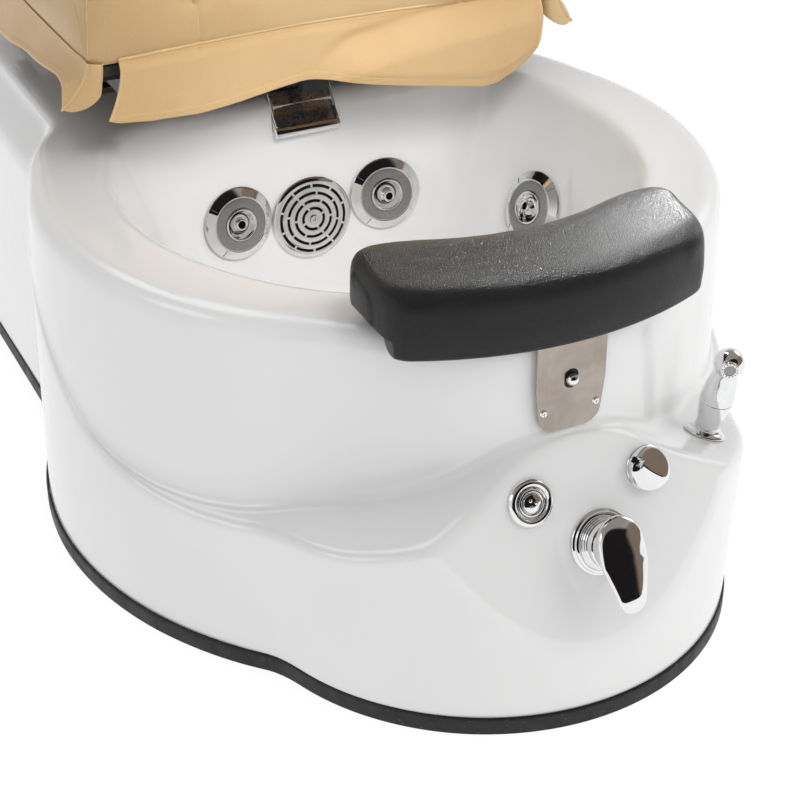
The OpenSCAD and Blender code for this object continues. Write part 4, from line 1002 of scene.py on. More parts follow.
for i in range(nr + 1):
    r = RK * i / nr
    if i == 0:
        V.append((0, 0, knob_top(0, 0)))
        continue
    for k in range(na):
        t = 2 * math.pi * k / na
        V.append((r * math.cos(t), r * math.sin(t), knob_top(r * math.cos(t), r * math.sin(t))))
for k in range(na):
    F.append((0, 1 + k, 1 + (k + 1) % na))
for i in range(1, nr):
    a, b = 1 + (i - 1) * na, 1 + i * na
    for k in range(na):
        k2 = (k + 1) % na
        F.append((a + k, b + k, b + k2, a + k2))
last = 1 + (nr - 1) * na
for dz, dr_ in ((-0.5, 0.35), (-1.3, 0.5), (-99, 0.3), (-100, -0.6)):
    st = len(V)
    for k in range(na):
        t = 2 * math.pi * k / na
        top = knob_top(RK * math.cos(t), RK * math.sin(t))
        z = top + dz if dz > -50 else (4.4 if dz == -99 else 3.9)
        V.append(((RK + dr_) * math.cos(t), (RK + dr_) * math.sin(t), max(z, 3.9)))
    for k in range(na):
        k2 = (k + 1) % na
        F.append((last + k, st + k, st + k2, last + k2))
    last = st
V.append((0, 0, 3.9))
for k in range(na):
    F.append((last + k, len(V) - 1, last + (k + 1) % na))
kn = add_mesh("knob_cap", xf(V, M), F, CHROME, "diverter", 48)
fix_normals(kn)
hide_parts("diverter_knob")

# sprayer
M = at(*DOCK)
dk = lathe("sprayer_flange", [(13.6, 0.5), (21.4, 0.5), (22.0, 1.2), (21.8, 2.4), (19.6, 4.4), (16.4, 6.4), (15.6, 8.0), (13.6, 8.2)], M, CHROME, "base", 128, [0.2, 0.5, 0.6, 1.2, 2.5, 2.5, 0.8, 0.3], True, 45, 4)
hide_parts("sprayer_dock")
S = at(*SPRAY)
lathe("sprayer_collar", [(10.2, 2.0), (13.6, 2.0), (14.6, 5.2), (15.0, 9.0), (14.4, 10.2), (13.8, 10.6), (13.8, 11.6), (14.4, 12.2), (14.2, 13.4), (13.2, 14.0), (10.2, 14.0)], S, CHROME, "base", 128, 0.6, True, 50)
hp = [(0, 14.6), (12.9, 14.6), (13.4, 15.4), (13.4, 17.6), (12.8, 18.4), (13.0, 19.8), (13.9, 28.0), (15.3, 36.0), (16.6, 44.0), (17.2, 50.6), (17.25, 51.8), (16.8, 52.2), (16.8, 52.6), (17.25, 53.0), (17.2, 54.4), (16.8, 61.0), (15.8, 69.0), (14.4, 77.0), (13.0, 84.0), (12.2, 88.0), (12.0, 92.0), (0, 92.0)]
hd = lathe("sprayer_grip", hp, S, CHROME, "sprayer", 128, [0, 0.4, 0.4, 0.5, 0.5, 0.8, 3, 3, 3, 1.5, 0.3, 0.1, 0.1, 0.3, 1, 3, 3, 3, 3, 2, 0.5, 0], False, 50, 3)
fix_normals(hd)
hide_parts("sprayer_handle")
BALL = Vector((196.3, -416.3, 296.1))
HM = at(BALL, -121.7, -4)
RB = 15.6
ball = [(RB * math.sin(t), RB * math.cos(t)) for t in np.linspace(math.radians(38), math.pi, 44)]
hp = [(0, 13.4), (5.6, 13.4), (5.9, 14.2), (8.9, 14.6), (9.5, 13.8)] + ball
v, f = revolve(rounded(hp, [0, 0.3, 0.4, 0.5, 0.4] + [0] * len(ball), 3, False), 96)
hd2 = add_mesh("sprayer_ball", xf(v, HM), f, CHROME, "sprayer", 55)
fix_normals(hd2)
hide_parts("sprayer_head")
parts = []
for k in range(14):
    a = 2 * math.pi * k / 14
    v, f = revolve([(0.95 * math.sin(t), 1.1 * math.cos(t)) for t in np.linspace(0, math.pi / 2, 5)], 14)
    parts.append((v + np.array([7.5 * math.cos(a), 7.5 * math.sin(a), 14.3]), f))
v, f = join_parts(parts)
add_mesh("sprayer_nozzles", xf(v, HM), f, CHROME, "sprayer", 60)
v, f = revolve([(0, 13.9), (5.4, 13.8), (5.5, 13.5)], 48)
add_mesh("sprayer_mesh_disc", xf(v, HM), f, SATIN, "sprayer", 60)

# ------------------------------------------------------------------ footrest
# the latch ball, its slot liner and stem; the outer plate, tongue and board keep their CAD shapes with small edge radii
LATCH = (0, -438.6, 341)
v, f = revolve([(6.5 * math.sin(t), 6.5 * math.cos(t)) for t in np.linspace(0, math.pi, 40)], 64)
lb = add_mesh("latch_ball", v + np.array(LATCH), f, CHROME, "latch", 80)
fix_normals(lb)
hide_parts("footrest_latch")
lathe("latch_slot_liner", [(4.4, 0.0), (9.9, 0.0), (9.9, 0.4), (4.4, 0.4)], at((0, -434.9, 341), -90, 0), RUBBER, "base", 64, 0.1, True, 45)
v, f = revolve(rounded([(0, 0), (3.7, 0), (3.7, 33), (0, 33)], [0, 0.4, 0, 0], 2, False), 40)
st_ = add_mesh("latch_stem", xf(v, at((0, -405, 341), -90, 0)), f, CHROME, "latch", 60)
fix_normals(st_)
soften_edges("footrest_plate", width=0.45)
soften_edges("footrest_tongue", "footrest_board", width=0.4)

# the pad: one moulded form swept round the tub's front
PAD_R, PAD_C, PAD_X, PAD_TURN, PAD_W = 366.0, -82.0, 174.0, math.radians(-0.83), 113.0
SEC = np.array([[0.2, 392], [1.2, 386.2], [5, 384.1], [13, 384.6], [19, 389], [21.6, 398], [28, 403], [50, 403.4], [73, 403.6], [82, 406], [88, 413], [89.5, 427], [89.2, 441], [86, 452.5], [79, 459.6], [68, 461.6], [54, 460.2], [38, 457.6], [24, 454.6], [14.5, 451.0], [7.2, 445.4], [2.8, 436], [0.4, 420], [-0.6, 405]], float)
SEC[:, 0] = np.where(SEC[:, 0] > 28, 28 + (SEC[:, 0] - 28) * (PAD_W - 28) / 61.5, SEC[:, 0])


def closed_spline(P, n):
    P = np.asarray(P, float)
    out = []
    m = len(P)
    for i in range(m):
        a, b, c, d = P[i - 1], P[i], P[(i + 1) % m], P[(i + 2) % m]
        for k in range(12):
            t = k / 12
            out.append(0.5 * ((2 * b) + (c - a) * t + (2 * a - 5 * b + 4 * c - d) * t * t + (3 * b - a - 3 * c + d) * t ** 3))
    return resample(np.array(out), n, True)


def soft_lookup(tab, v, k=0.02):
    X, Y = [t[0] for t in tab], [t[1] for t in tab]
    return float(np.mean([np.interp(v + q, X, Y) for q in np.linspace(-k, k, 9)])) if v < 1 - k else float(np.interp(v, X, Y))


E_IN = [(0, 1), (0.58, 1), (0.7, 0.93), (0.78, 0.84), (0.86, 0.7), (0.92, 0.54), (0.96, 0.40), (0.985, 0.28), (1, 0.16)]
E_OUT = [(0, 1), (0.9, 1), (0.93, 0.975), (0.965, 0.9), (0.985, 0.80), (1, 0.62)]
E_Z = [(0, 1), (0.88, 1), (0.94, 0.96), (0.97, 0.88), (0.985, 0.79), (1, 0.62)]
S96 = closed_spline(SEC, 132)
m = len(S96)
nu = 230
us = np.sin(np.linspace(-math.pi / 2, math.pi / 2, nu + 1))
us = 0.3 * np.linspace(-1, 1, nu + 1) + 0.7 * us
cx, cz = PAD_W * 0.45, 424.0
rings = []
for u in us:
    x = abs(u)
    ei, eo, ez = soft_lookup(E_IN, x, 0.03), soft_lookup(E_OUT, x, 0.012), soft_lookup(E_Z, x, 0.012)
    lip = 1 - sstep(0.938, 0.952, x)
    ring = []
    for d, z in S96:
        if z < 403:
            z = 403 - (403 - z) * max(lip, 0.05)
        wgt = sstep(-12, 12, d - cx)
        e = eo * (1 - wgt) + ei * wgt
        dd = cx + (d - cx) * e
        zz = cz + (z - cz) * ez
        # the front shoulder swells a little before each end
        dd -= 1.5 * math.exp(-((x - 0.84) / 0.06) ** 2) * math.exp(-((d - 2) / 9) ** 2) * math.exp(-((zz - 436) / 12) ** 2)
        r = PAD_R - dd
        t = math.asin(min(1.0, max(-1.0, PAD_X * u / r)))
        ring.append((r * math.sin(t), -r * math.cos(t), zz))
    rings.append(np.array(ring))
for side in (0, -1):
    base_ring = rings[side]
    c0 = base_ring.mean(0)
    extra = [c0 + (base_ring - c0) * sc + np.array([(-1 if side == 0 else 1) * dx, 0, 0]) for sc, dx in ((0.94, 1.3), (0.8, 2.6), (0.55, 3.5), (0.25, 3.9))]
    rings = (extra[::-1] + rings) if side == 0 else (rings + extra)
V = np.concatenate(rings)
ct, st2 = math.cos(PAD_TURN), math.sin(PAD_TURN)
V = np.stack([V[:, 0] * ct - V[:, 1] * st2, V[:, 0] * st2 + V[:, 1] * ct + PAD_C, V[:, 2]], -1)
F = []
for i in range(len(rings) - 1):
    for j in range(m):
        k = (j + 1) % m
        F.append((i * m + j, (i + 1) * m + j, (i + 1) * m + k, i * m + k))
F.append(tuple(range(m)))
F.append(tuple(range((len(rings) - 1) * m, len(rings) * m)))
pad = add_mesh("footrest_pad", V, F, PU, "footrest", 60)
fix_normals(pad)
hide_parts("footrest_cushion")

# ------------------------------------------------------------------ soft goods
LEAN = Matrix.Translation((0, 0.585, 0.545)) @ Matrix.Rotation(math.radians(-14), 4, "X")


def evaluated(ob):
    dg = bpy.context.evaluated_depsgraph_get()
    return bpy.data.meshes.new_from_object(ob.evaluated_get(dg))


def coords(me):
    co = np.zeros(len(me.vertices) * 3, np.float32)
    me.vertices.foreach_get("co", co)
    return co.reshape(-1, 3).astype(float)


def put(me, co):
    me.vertices.foreach_set("co", np.asarray(co, np.float32).ravel())
    me.update()


def stuffed(name, node, mat, body, slot, voxel=0.007, shrink=0.004, pressure=4.0, cap=0.022, frames=20, fill=0.7, hold=None, relax=6, clip=None, levels=1):
    """A CAD cushion solid as real upholstery: remeshed, inflated with Blender's Cloth, capped, and subdivided."""
    src = NODES[node]
    me = src.data.copy()
    ob = bpy.data.objects.new(name, me)
    SC.collection.objects.link(ob)
    w = ob.modifiers.new("w", "WELD")
    w.merge_threshold = 0.00005
    r = ob.modifiers.new("r", "REMESH")
    r.mode = "VOXEL"
    r.voxel_size = voxel
    s = ob.modifiers.new("s", "SMOOTH")
    s.iterations = relax
    s.factor = 0.5
    me2 = evaluated(ob)
    ob.modifiers.clear()
    ob.data = me2
    me2.calc_loop_triangles()
    co0 = coords(me2)
    nrm = np.zeros(len(me2.vertices) * 3, np.float32)
    me2.vertices.foreach_get("normal", nrm)
    nrm = nrm.reshape(-1, 3).astype(float)
    start = co0 - nrm * shrink
    put(me2, start)
    c = ob.modifiers.new("c", "CLOTH")
    c.settings.quality = 4
    c.settings.mass = 0.25
    c.settings.tension_stiffness = 22
    c.settings.compression_stiffness = 22
    c.settings.shear_stiffness = 8
    c.settings.bending_stiffness = 1.2
    c.settings.use_pressure = True
    c.settings.uniform_pressure_force = pressure
    c.settings.effector_weights.gravity = 0
    c.collision_settings.use_collision = False
    c.collision_settings.use_self_collision = False
    c.point_cache.frame_start = 1
    c.point_cache.frame_end = frames
    if hold is not None:
        g = ob.vertex_groups.new(name="hold")
        for i in np.nonzero(hold(start))[0]:
            g.add([int(i)], 1.0, "REPLACE")
        c.settings.vertex_group_mass = "hold"
        c.settings.pin_stiffness = 1.0
    for fr in range(1, frames + 1):
        SC.frame_set(fr)
    me3 = evaluated(ob)
    end = coords(me3)
    ob.modifiers.clear()
    SC.frame_set(1)
    d = end - start
    L = np.linalg.norm(d, axis=1)
    k = np.minimum(1.0, cap / np.maximum(L, 1e-9))
    end = start + d * k[:, None]
    if clip is not None:
        end = clip(start, end)
    put(me2, end)
    for v in list(ob.vertex_groups):
        ob.vertex_groups.remove(v)
    sm = ob.modifiers.new("s", "SMOOTH")
    sm.iterations = 2
    sm.factor = 0.5
    if levels:
        sb = ob.modifiers.new("sub", "SUBSURF")
        sb.levels = levels
        sb.render_levels = levels
    me4 = evaluated(ob)
    ob.modifiers.clear()
    ob.data = me4
    me4.materials.clear()
    me4.materials.append(mat)
    smooth(ob, None)
    ob["todo"] = body
    return ob


def vertex_normals(me):
    nrm = np.zeros(len(me.vertices) * 3, np.float32)
    me.vertices.foreach_get("normal", nrm)
    return nrm.reshape(-1, 3).astype(float)


def groove(ob, dist, width, depth, mask=None):
    """Presses the mesh in along a seam. dist gives each vertex's distance to the seam line, in metres."""
    me = ob.data
    co = coords(me)
    n = vertex_normals(me)
    d = dist(co)
    w = np.clip(1 - (d / width) ** 2, 0, 1) ** 2
    if mask is not None:
        w = w * mask(co, n)
    put(me, co - n * (w * depth)[:, None])


def bvh_of(ob):
    me = ob.data
    return BVHTree.FromPolygons([v.co[:] for v in me.vertices], [p.vertices[:] for p in me.polygons])


def on_surface(tree, pts, off=0.0, direction=None):
    """Points laid on the surface, off metres outside it. Coordinates in metres."""
    out = []
    nn = []
    for p in pts:
        if direction is not None:
            d = Vector(direction).normalized()
            hit = tree.ray_cast(Vector(p) - d * 0.12, d, 0.3)
        else:
            hit = tree.find_nearest(Vector(p), 0.3)
        if hit[0] is None:
            hit = tree.find_nearest(Vector(p), 1.0)
        q, n = hit[0], hit[1]
        out.append(q + n * off)
        nn.append(n)
    P = np.array([list(q) for q in out])
    return P, np.array([list(n) for n in nn])


def even(P, k=5):
    """Light smoothing of a polyline."""
    P = np.asarray(P, float).copy()
    for _ in range(k):
        P[1:-1] = P[1:-1] * 0.5 + (P[:-2] + P[2:]) * 0.25
    return P


def stitch_parts(P, N, pitch=0.0042, length=0.0027, r=0.00034, lift=0.0003):
    """Thread stitches along a polyline that lies on a surface. P and N in metres."""
    L = np.concatenate([[0], np.cumsum(np.linalg.norm(np.diff(P, axis=0), axis=1))])
    parts = []
    s = pitch * 0.5
    while s + length < L[-1]:
        tt = np.array([s, s + length * 0.25, s + length * 0.75, s + length])
        q = np.stack([np.interp(tt, L, P[:, i]) for i in range(3)], 1)
        nn = np.stack([np.interp(tt, L, N[:, i]) for i in range(3)], 1)
        h = np.array([-0.2, 1.0, 1.0, -0.2])[:, None] * lift
        parts.append(tube(q + nn * h, r, 5, up=(0.3, 0.2, 1)))
        s += pitch
    return parts


def add_stitches(name, lines, body, pitch=0.0042):
    parts = []
    for P, N in lines:
        parts += stitch_parts(P, N, pitch)
    if not parts:
        return None
    v, f = join_parts(parts)
    return add_mesh(name, v, f, THREAD, body, 80, mm=False)


def add_bead(name, P, r, body, mat=None, closed=False, n=10):
    v, f = tube(np.asarray(P), r, n, closed=closed, up=(0.1, 0.3, 1))
    return add_mesh(name, v, f, mat or PIPING, body, 80, mm=False)


def done(ob, body, slot, *replaced, fill=0.7):
    if "todo" in ob:
        del ob["todo"]
    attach(ob, body)
    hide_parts(*replaced)


# --- seat cushion
def seat_clip(a, b):
    # flat where it rests on its pan, and clear of the arm posts and the deck
    b = b.copy()
    b[:, 2] = np.maximum(b[:, 2], 0.5026)
    b[:, 0] = np.clip(b[:, 0], -0.2935, 0.2935)
    b[:, 1] = np.clip(b[:, 1], 0.0915, 0.562)
    return b


seat = stuffed("seat_cushion_leather", "seat_cushion", TAN, "seat", "tan_leather", 0.006, 0.002, 4.0, 0.016, relax=2, clip=seat_clip, hold=lambda c: c[:, 2] < 0.5075)


def dist_plane(axis, value):
    return lambda c: np.abs(c[:, axis] - value)


# panel seams of the front boxing and its corners, then the top panel's joins
groove(seat, dist_plane(0, -0.160), 0.0055, 0.0016, lambda c, n: (n[:, 1] < -0.55) * 1.0)
groove(seat, dist_plane(0, 0.160), 0.0055, 0.0016, lambda c, n: (n[:, 1] < -0.55) * 1.0)
groove(seat, lambda c: np.abs(c[:, 2] - 0.613), 0.006, 0.0018, lambda c, n: (np.abs(n[:, 2]) < 0.93) * 1.0)
for xx in (-0.16, 0.16):
    groove(seat, dist_plane(0, xx), 0.010, 0.0045, lambda c, n: (n[:, 2] > 0.5) * 1.0)
for yy in (0.215, 0.335, 0.455):
    groove(seat, dist_plane(1, yy), 0.012, 0.006, lambda c, n: (n[:, 2] > 0.5) * (np.abs(c[:, 0]) < 0.16))
done(seat, "seat", "tan_leather", "seat_cushion", fill=0.8)
tree = bvh_of(seat)
zz_ = np.linspace(0.5065, 0.61, 60)
lines = []
for xx in (-0.160, 0.160):
    P, N = on_surface(tree, [(xx, 0.08, z) for z in zz_], -0.0002, (0, 1, 0))
    add_bead(f"seat_seam_{'l' if xx < 0 else 'r'}", even(P), 0.00055, "seat", PIPING, n=6)
# corner seams, each with a row of stitches beside it
for s_, nm in ((-1, "l"), (1, "r")):
    P, N = on_surface(tree, [(s_ * 0.31, 0.075, z) for z in np.linspace(0.5065, 0.628, 70)], 0.0, (-s_ * 0.7, 0.7, 0))
    add_bead(f"seat_corner_{nm}", even(P, 8), 0.0008, "seat", PIPING, n=8)
    P, N = on_surface(tree, [(s_ * 0.31, 0.109, z) for z in np.linspace(0.5085, 0.622, 70)], 0.0001, (-s_, 0, 0))
    lines.append((even(P, 8), N))
    P, N = on_surface(tree, [(s_ * 0.283, 0.05, z) for z in np.linspace(0.5085, 0.622, 70)], 0.0001, (0, 1, 0))
    lines.append((even(P, 8), N))
# stitched piping round the top of the boxing
loop = []
for t in np.linspace(0, 2 * math.pi, 480, endpoint=False):
    cx_, cy_ = math.cos(t), math.sin(t)
    sx = abs(cx_) ** 0.12 * np.sign(cx_) * 0.33
    sy = abs(cy_) ** 0.12 * np.sign(cy_) * 0.27 + 0.326
    loop.append((sx, sy, 0.613))
P, N = on_surface(tree, [(p[0] * 0.9, 0.326 + (p[1] - 0.326) * 0.9, p[2]) for p in loop], 0.0004)
Pc = np.concatenate([P[-20:], P, P[:20]])
Pc = even(Pc, 6)[20:-20]
add_bead("seat_top_piping", Pc, 0.0021, "seat", PIPING, closed=True, n=10)
# the lower bead along each side
for s_, nm in ((-1, "l"), (1, "r")):
    P, N = on_surface(tree, [(s_ * 0.32, y, 0.5075) for y in np.linspace(0.112, 0.545, 140)], 0.0005, (-s_, 0, 0))
    add_bead(f"seat_side_bead_{nm}", even(P, 6), 0.0018, "seat", PIPING)
add_stitches("seat_stitches", lines, "seat")


# --- front apron: a stitched sheet hanging from the cushion's lower front seam
def lerp_tab(tab, x):
    X = [t[0] for t in tab]
    Y = [t[1] for t in tab]
    return np.interp(x, X, Y)


def smooth_tab(tab, x, k=0.02):
    X = np.array([t[0] for t in tab], float)
    Y = np.array([t[1] for t in tab], float)
    span = X[-1] - X[0]
    acc = 0
    K = np.linspace(-2, 2, 9)
    W = np.exp(-K ** 2)
    for kk, w in zip(K, W / W.sum()):
        acc = acc + w * np.interp(x + kk * k * span, X, Y, left=None, right=None)
    # ends keep their own values
    e = np.minimum(x - X[0], X[-1] - x) / (k * span * 3)
    e = np.clip(e, 0, 1)
    return acc * e + np.interp(x, X, Y) * (1 - e)


U_BOT = [(0, -270.5, 451, 82), (0.03, -258, 445, 83.5), (0.09, -222, 438.5, 84), (0.20, -166, 438, 85), (0.33, -95, 447, 87), (0.44, -35, 453.5, 88), (0.49, -8, 450, 87), (0.54, 16, 444, 84.5), (0.70, 99, 426, 75), (0.86, 181, 411, 68.5), (0.90, 198, 413, 68.5), (0.95, 224, 426, 70.5), (0.975, 240, 436, 72.5), (1.0, 252, 449, 76)]
Z_TOP = [(-252, 511), (-160, 515.5), (-43, 519.5), (79, 517), (154, 514.5), (258, 513)]
Z_FOLD = [(-262, 380), (-70, 405), (-38, 446), (-18, 468), (14, 486), (78, 495), (157, 504), (235, 512), (262, 515)]


_ax = np.linspace(-0.262, 0.262, 90)
_ay = on_surface(tree, [(x, 0.05, 0.5135) for x in _ax], 0.0, (0, 1, 0))[0][:, 1]
_fy = np.linspace(0.125, 0.52, 90)
_fx = {s_: on_surface(tree, [(s_ * 0.33, y, 0.5125) for y in _fy], 0.0, (-s_, 0, 0))[0][:, 0] for s_ in (-1, 1)}


def apron_point(u, v):
    xb = smooth_tab([(q[0], q[1]) for q in U_BOT], u, 0.012)
    zb = smooth_tab([(q[0], q[2]) for q in U_BOT], u, 0.012)
    yb = smooth_tab([(q[0], q[3]) for q in U_BOT], u, 0.02)
    xt = -250 + 508 * u
    zt = smooth_tab(Z_TOP, xt, 0.03)
    wx = v ** 2.2
    # the free left edge runs straight down and only its corner swings out
    x = xt + (xb - xt) * (wx * (1 - sstep(0.0, 0.1, u)) + sstep(0.0, 0.1, u) * v ** 1.3)
    z = zt + (zb - zt) * v
    zf = smooth_tab(Z_FOLD, x, 0.02)
    d = zf - z
    bulge = sstep(-4, 34, d) * sstep(-60, 30, x)
    y = 92.6 - 1.2 * np.sin(x * 0.031 + 0.6) * v - (92.6 - yb) * (0.25 * v ** 1.5 * (1 - sstep(-60, 20, x)) + 0.0)
    y = y - 15.5 * bulge * (0.35 + 0.65 * sstep(0, 120, x + 60)) * (1 - 0.25 * sstep(0.8, 1.0, v))
    # the folded ridge itself is drawn in a little above the bulge
    y = y + 3.6 * np.exp(-((d + 7) / 8.5) ** 2) * sstep(-40, 30, x) * (1 - sstep(225, 256, x))
    # the top edge lies against the cushion
    y = y + (np.interp(xt, _ax * 1000, _ay * 1000) - 0.5 - 92.6) * (1 - sstep(0.0, 0.22, v))
    # gentle waves down the left half, and its corner turned out
    y = y + 2.4 * np.sin((x + 250) * 0.036) * v * (1 - sstep(-60, 0, x))
    y = y - 6.5 * v ** 3 * (1 - sstep(0.0, 0.09, u))
    return np.stack([x, y, z], -1)


def sheet_mesh(name, fn, nu, nv, thick, hem, body, mat, sides=("b", "l", "r")):
    U = np.linspace(0, 1, nu)
    Vv = np.linspace(0, 1, nv)
    g = fn(U[:, None] + 0 * Vv[None, :], Vv[None, :] + 0 * U[:, None])
    du = np.gradient(g, axis=0)
    dv = np.gradient(g, axis=1)
    n = np.cross(du, dv)
    n /= np.maximum(np.linalg.norm(n, axis=-1), 1e-9)[..., None]
    # distance from the free edges along the cloth
    lu = np.concatenate([np.zeros((1, nv)), np.cumsum(np.linalg.norm(np.diff(g, axis=0), axis=-1), axis=0)])
    lv = np.concatenate([np.zeros((nu, 1)), np.cumsum(np.linalg.norm(np.diff(g, axis=1), axis=-1), axis=1)], axis=1)
    e = np.full((nu, nv), 1e9)
    if "b" in sides:
        e = np.minimum(e, lv[:, -1:] - lv)
    if "l" in sides:
        e = np.minimum(e, lu)
    if "r" in sides:
        e = np.minimum(e, lu[-1:] - lu)
    t = thick * (1 + 0.75 * (1 - sstep(hem - 1.2, hem + 0.4, e)))
    t = t * np.sqrt(np.clip(1 - (1 - np.clip(e / 1.6, 0, 1)) ** 2, 0.10, 1))
    # a shallow line where the hem is sewn
    t = t - 0.5 * np.exp(-((e - hem + 2.6) / 0.9) ** 2)
    top = g + n * (t / 2)[..., None]
    bot = g - n * (t / 2)[..., None]
    V = np.concatenate([top.reshape(-1, 3), bot.reshape(-1, 3)])
    F = []
    o = nu * nv
    for i in range(nu - 1):
        for j in range(nv - 1):
            a, b, c, d = i * nv + j, (i + 1) * nv + j, (i + 1) * nv + j + 1, i * nv + j + 1
            F.append((a, b, c, d))
            F.append((o + a, o + d, o + c, o + b))
    rim = [i * nv for i in range(nu)] + [(nu - 1) * nv + j for j in range(1, nv)] + [i * nv + nv - 1 for i in range(nu - 2, -1, -1)] + [j for j in range(nv - 2, 0, -1)]
    for k in range(len(rim)):
        a, b = rim[k], rim[(k + 1) % len(rim)]
        F.append((a, o + a, o + b, b))
    ob = add_mesh(name, V, F, mat, body, 70)
    fix_normals(ob)
    area = 0.0
    for i in range(nu - 1):
        c1 = np.cross(g[i + 1, :-1] - g[i, :-1], g[i, 1:] - g[i, :-1])
        c2 = np.cross(g[i, 1:] - g[i + 1, 1:], g[i + 1, :-1] - g[i + 1, 1:])
        area += 0.5 * (np.linalg.norm(c1, axis=1).sum() + np.linalg.norm(c2, axis=1).sum())
    return ob, g, n, area * 1e-6


# the apron wears the lighter tan copy: painted light
apron, ag, an, aarea = sheet_mesh("front_apron", apron_point, 300, 90, 1.5, 9.0, "seat", TAN_LIT_COPY)
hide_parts("seat_apron")
lines = []


def inset_line(g, n, side, dist):
    """A line on the sheet at a set distance from one edge, with its normals, in metres."""
    out, nn = [], []
    if side == "b":
        for i in range(g.shape[0]):
            col_ = g[i]
            L = np.concatenate([[0], np.cumsum(np.linalg.norm(np.diff(col_[::-1], axis=0), axis=1))])
            if L[-1] < dist:
                continue
            out.append([np.interp(dist, L, col_[::-1][:, k]) for k in range(3)])
            nn.append([np.interp(dist, L, n[i][::-1][:, k]) for k in range(3)])
    elif side in "lr":
        for j in range(g.shape[1]):
            row = g[:, j] if side == "l" else g[::-1, j]
            nr_ = n[:, j] if side == "l" else n[::-1, j]
            L = np.concatenate([[0], np.cumsum(np.linalg.norm(np.diff(row, axis=0), axis=1))])
            out.append([np.interp(dist, L, row[:, k]) for k in range(3)])
            nn.append([np.interp(dist, L, nr_[:, k]) for k in range(3)])
    else:
        for i in range(g.shape[0]):
            col_ = g[i]
            L = np.concatenate([[0], np.cumsum(np.linalg.norm(np.diff(col_, axis=0), axis=1))])
            out.append([np.interp(dist, L, col_[:, k]) for k in range(3)])
            nn.append([np.interp(dist, L, n[i][:, k]) for k in range(3)])
    return np.array(out) * 0.001, np.array(nn)


sgn = -1.0 if an[150, 45, 1] > 0 else 1.0
for side, dist, sl in (("b", 6.4, slice(3, -3)), ("l", 6.4, slice(2, -6)), ("r", 6.4, slice(2, -6)), ("t", 5.0, slice(2, -2))):
    P, N = inset_line(ag, an, side, dist)
    P, N = P[sl], N[sl] * sgn
    lines.append((even(P + N * 0.0010, 3), N))
add_stitches("apron_stitches", lines, "seat")
# rolled top edge of the apron, tucked under the cushion's front
P = ag[:, 0] * 0.001 + np.array([0, -0.0006, 0.0006])
add_bead("apron_top_bead", even(P, 4), 0.0019, "seat", PIPING)


# --- side flaps, each turned in at the front
FL = np.array([  # top x y z, bottom x y z, for the left side
    (-286, 514, 506, -291, 514, 438), (-286.5, 430, 505.5, -297, 431, 441), (-287, 360, 505, -299, 361, 452), (-287.5, 300, 505, -301, 301, 462), (-287.5, 250, 505, -302.5, 250, 470),
    (-288, 200, 505, -303.5, 200, 477), (-288.5, 150, 505, -304.5, 150, 484), (-289, 120, 505.5, -307, 122, 482), (-289.6, 104, 506.5, -311, 113, 469), (-289.6, 98.5, 507, -313, 110, 461),
    (-286.5, 95.5, 507, -303, 103, 459.5), (-281.5, 94, 506.5, -291, 97, 463), (-277, 94.5, 505.5, -280, 94.5, 469.5), (-273.5, 98, 504.5, -273, 97.5, 475), (-272, 105, 504, -270, 107, 480), (-271.6, 116, 503.8, -269.6, 119, 484)])


def flap_fn(s_):
    def fn(u, v):
        L = np.linspace(0, 1, len(FL))
        # more samples near the turned end
        uu = np.power(u, 0.62)
        arr = np.stack([np.interp(uu, L, FL[:, k]) for k in range(6)], -1)
        K = np.linspace(-1, 1, 7) * 0.022
        acc = 0
        for kk in K:
            acc = acc + np.stack([np.interp(np.clip(uu + kk, 0, 1), L, FL[:, k]) for k in range(6)], -1)
        acc = acc / len(K)
        ridge = np.exp(-((uu - 9 / 15) / 0.02) ** 2)[..., None]
        arr = acc * (1 - ridge) + arr * ridge
        # the top edge lies against the cushion's side
        meas = -s_ * np.interp(arr[..., 1], _fy * 1000, _fx[s_] * 1000) * -1.0
        meas = -np.abs(meas) - 0.6
        keep = sstep(100, 118, arr[..., 1]) * (uu < 0.62)
        off = (meas - arr[..., 0])
        front = -np.abs(np.interp(125.0, _fy * 1000, _fx[s_] * 1000)) - 0.6 + 288.0
        arr[..., 0] = arr[..., 0] + off * keep + front * (1 - keep)
        arr[..., 2] = arr[..., 2] + 5.5
        vv = v[..., None]
        vz = vv
        vx = vv ** 1.7
        P = arr[..., :3] * (1 - vz) + arr[..., 3:] * vz
        P[..., 0] = arr[..., 0] * (1 - vx[..., 0]) + arr[..., 3] * vx[..., 0]
        P[..., 1] = arr[..., 1] * (1 - vx[..., 0]) + arr[..., 4] * vx[..., 0]
        P[..., 0] += 1.3 * np.sin(P[..., 1] * 0.045 + 1) * v * (P[..., 1] > 120)
        if s_ > 0:
            P[..., 0] = -P[..., 0]
        return P
    return fn


for s_, nm in ((-1, "left"), (1, "right")):
    # the side flaps wear the lighter tan copy: painted light
    ob, g, n_, ar = sheet_mesh(f"side_flap_{nm}", flap_fn(s_), 320, 36, 1.4, 8.0, "seat", TAN_LIT_COPY, sides=("b", "l", "r"))
    if s_ < 0:
        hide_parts("seat_side_flaps")
    # the hemmed ridge at the front corner
    ui = int(round((9 / 15) ** (1 / 0.62) * 319))
    ridge = g[ui] * 0.001
    add_bead(f"flap_hem_{nm}", even(ridge + np.array([s_ * 0.0006, -0.0004, 0]), 3), 0.0016, "seat", PIPING)
    sg = 1.0 if (n_[60, 18, 0] * s_) > 0 else -1.0
    P, N = inset_line(g, n_, "b", 6.0)
    keep = slice(4, ui - 6)
    add_stitches(f"flap_stitches_{nm}", [(even(P[keep] + N[keep] * sg * 0.0009, 3), N[keep] * sg)], "seat")


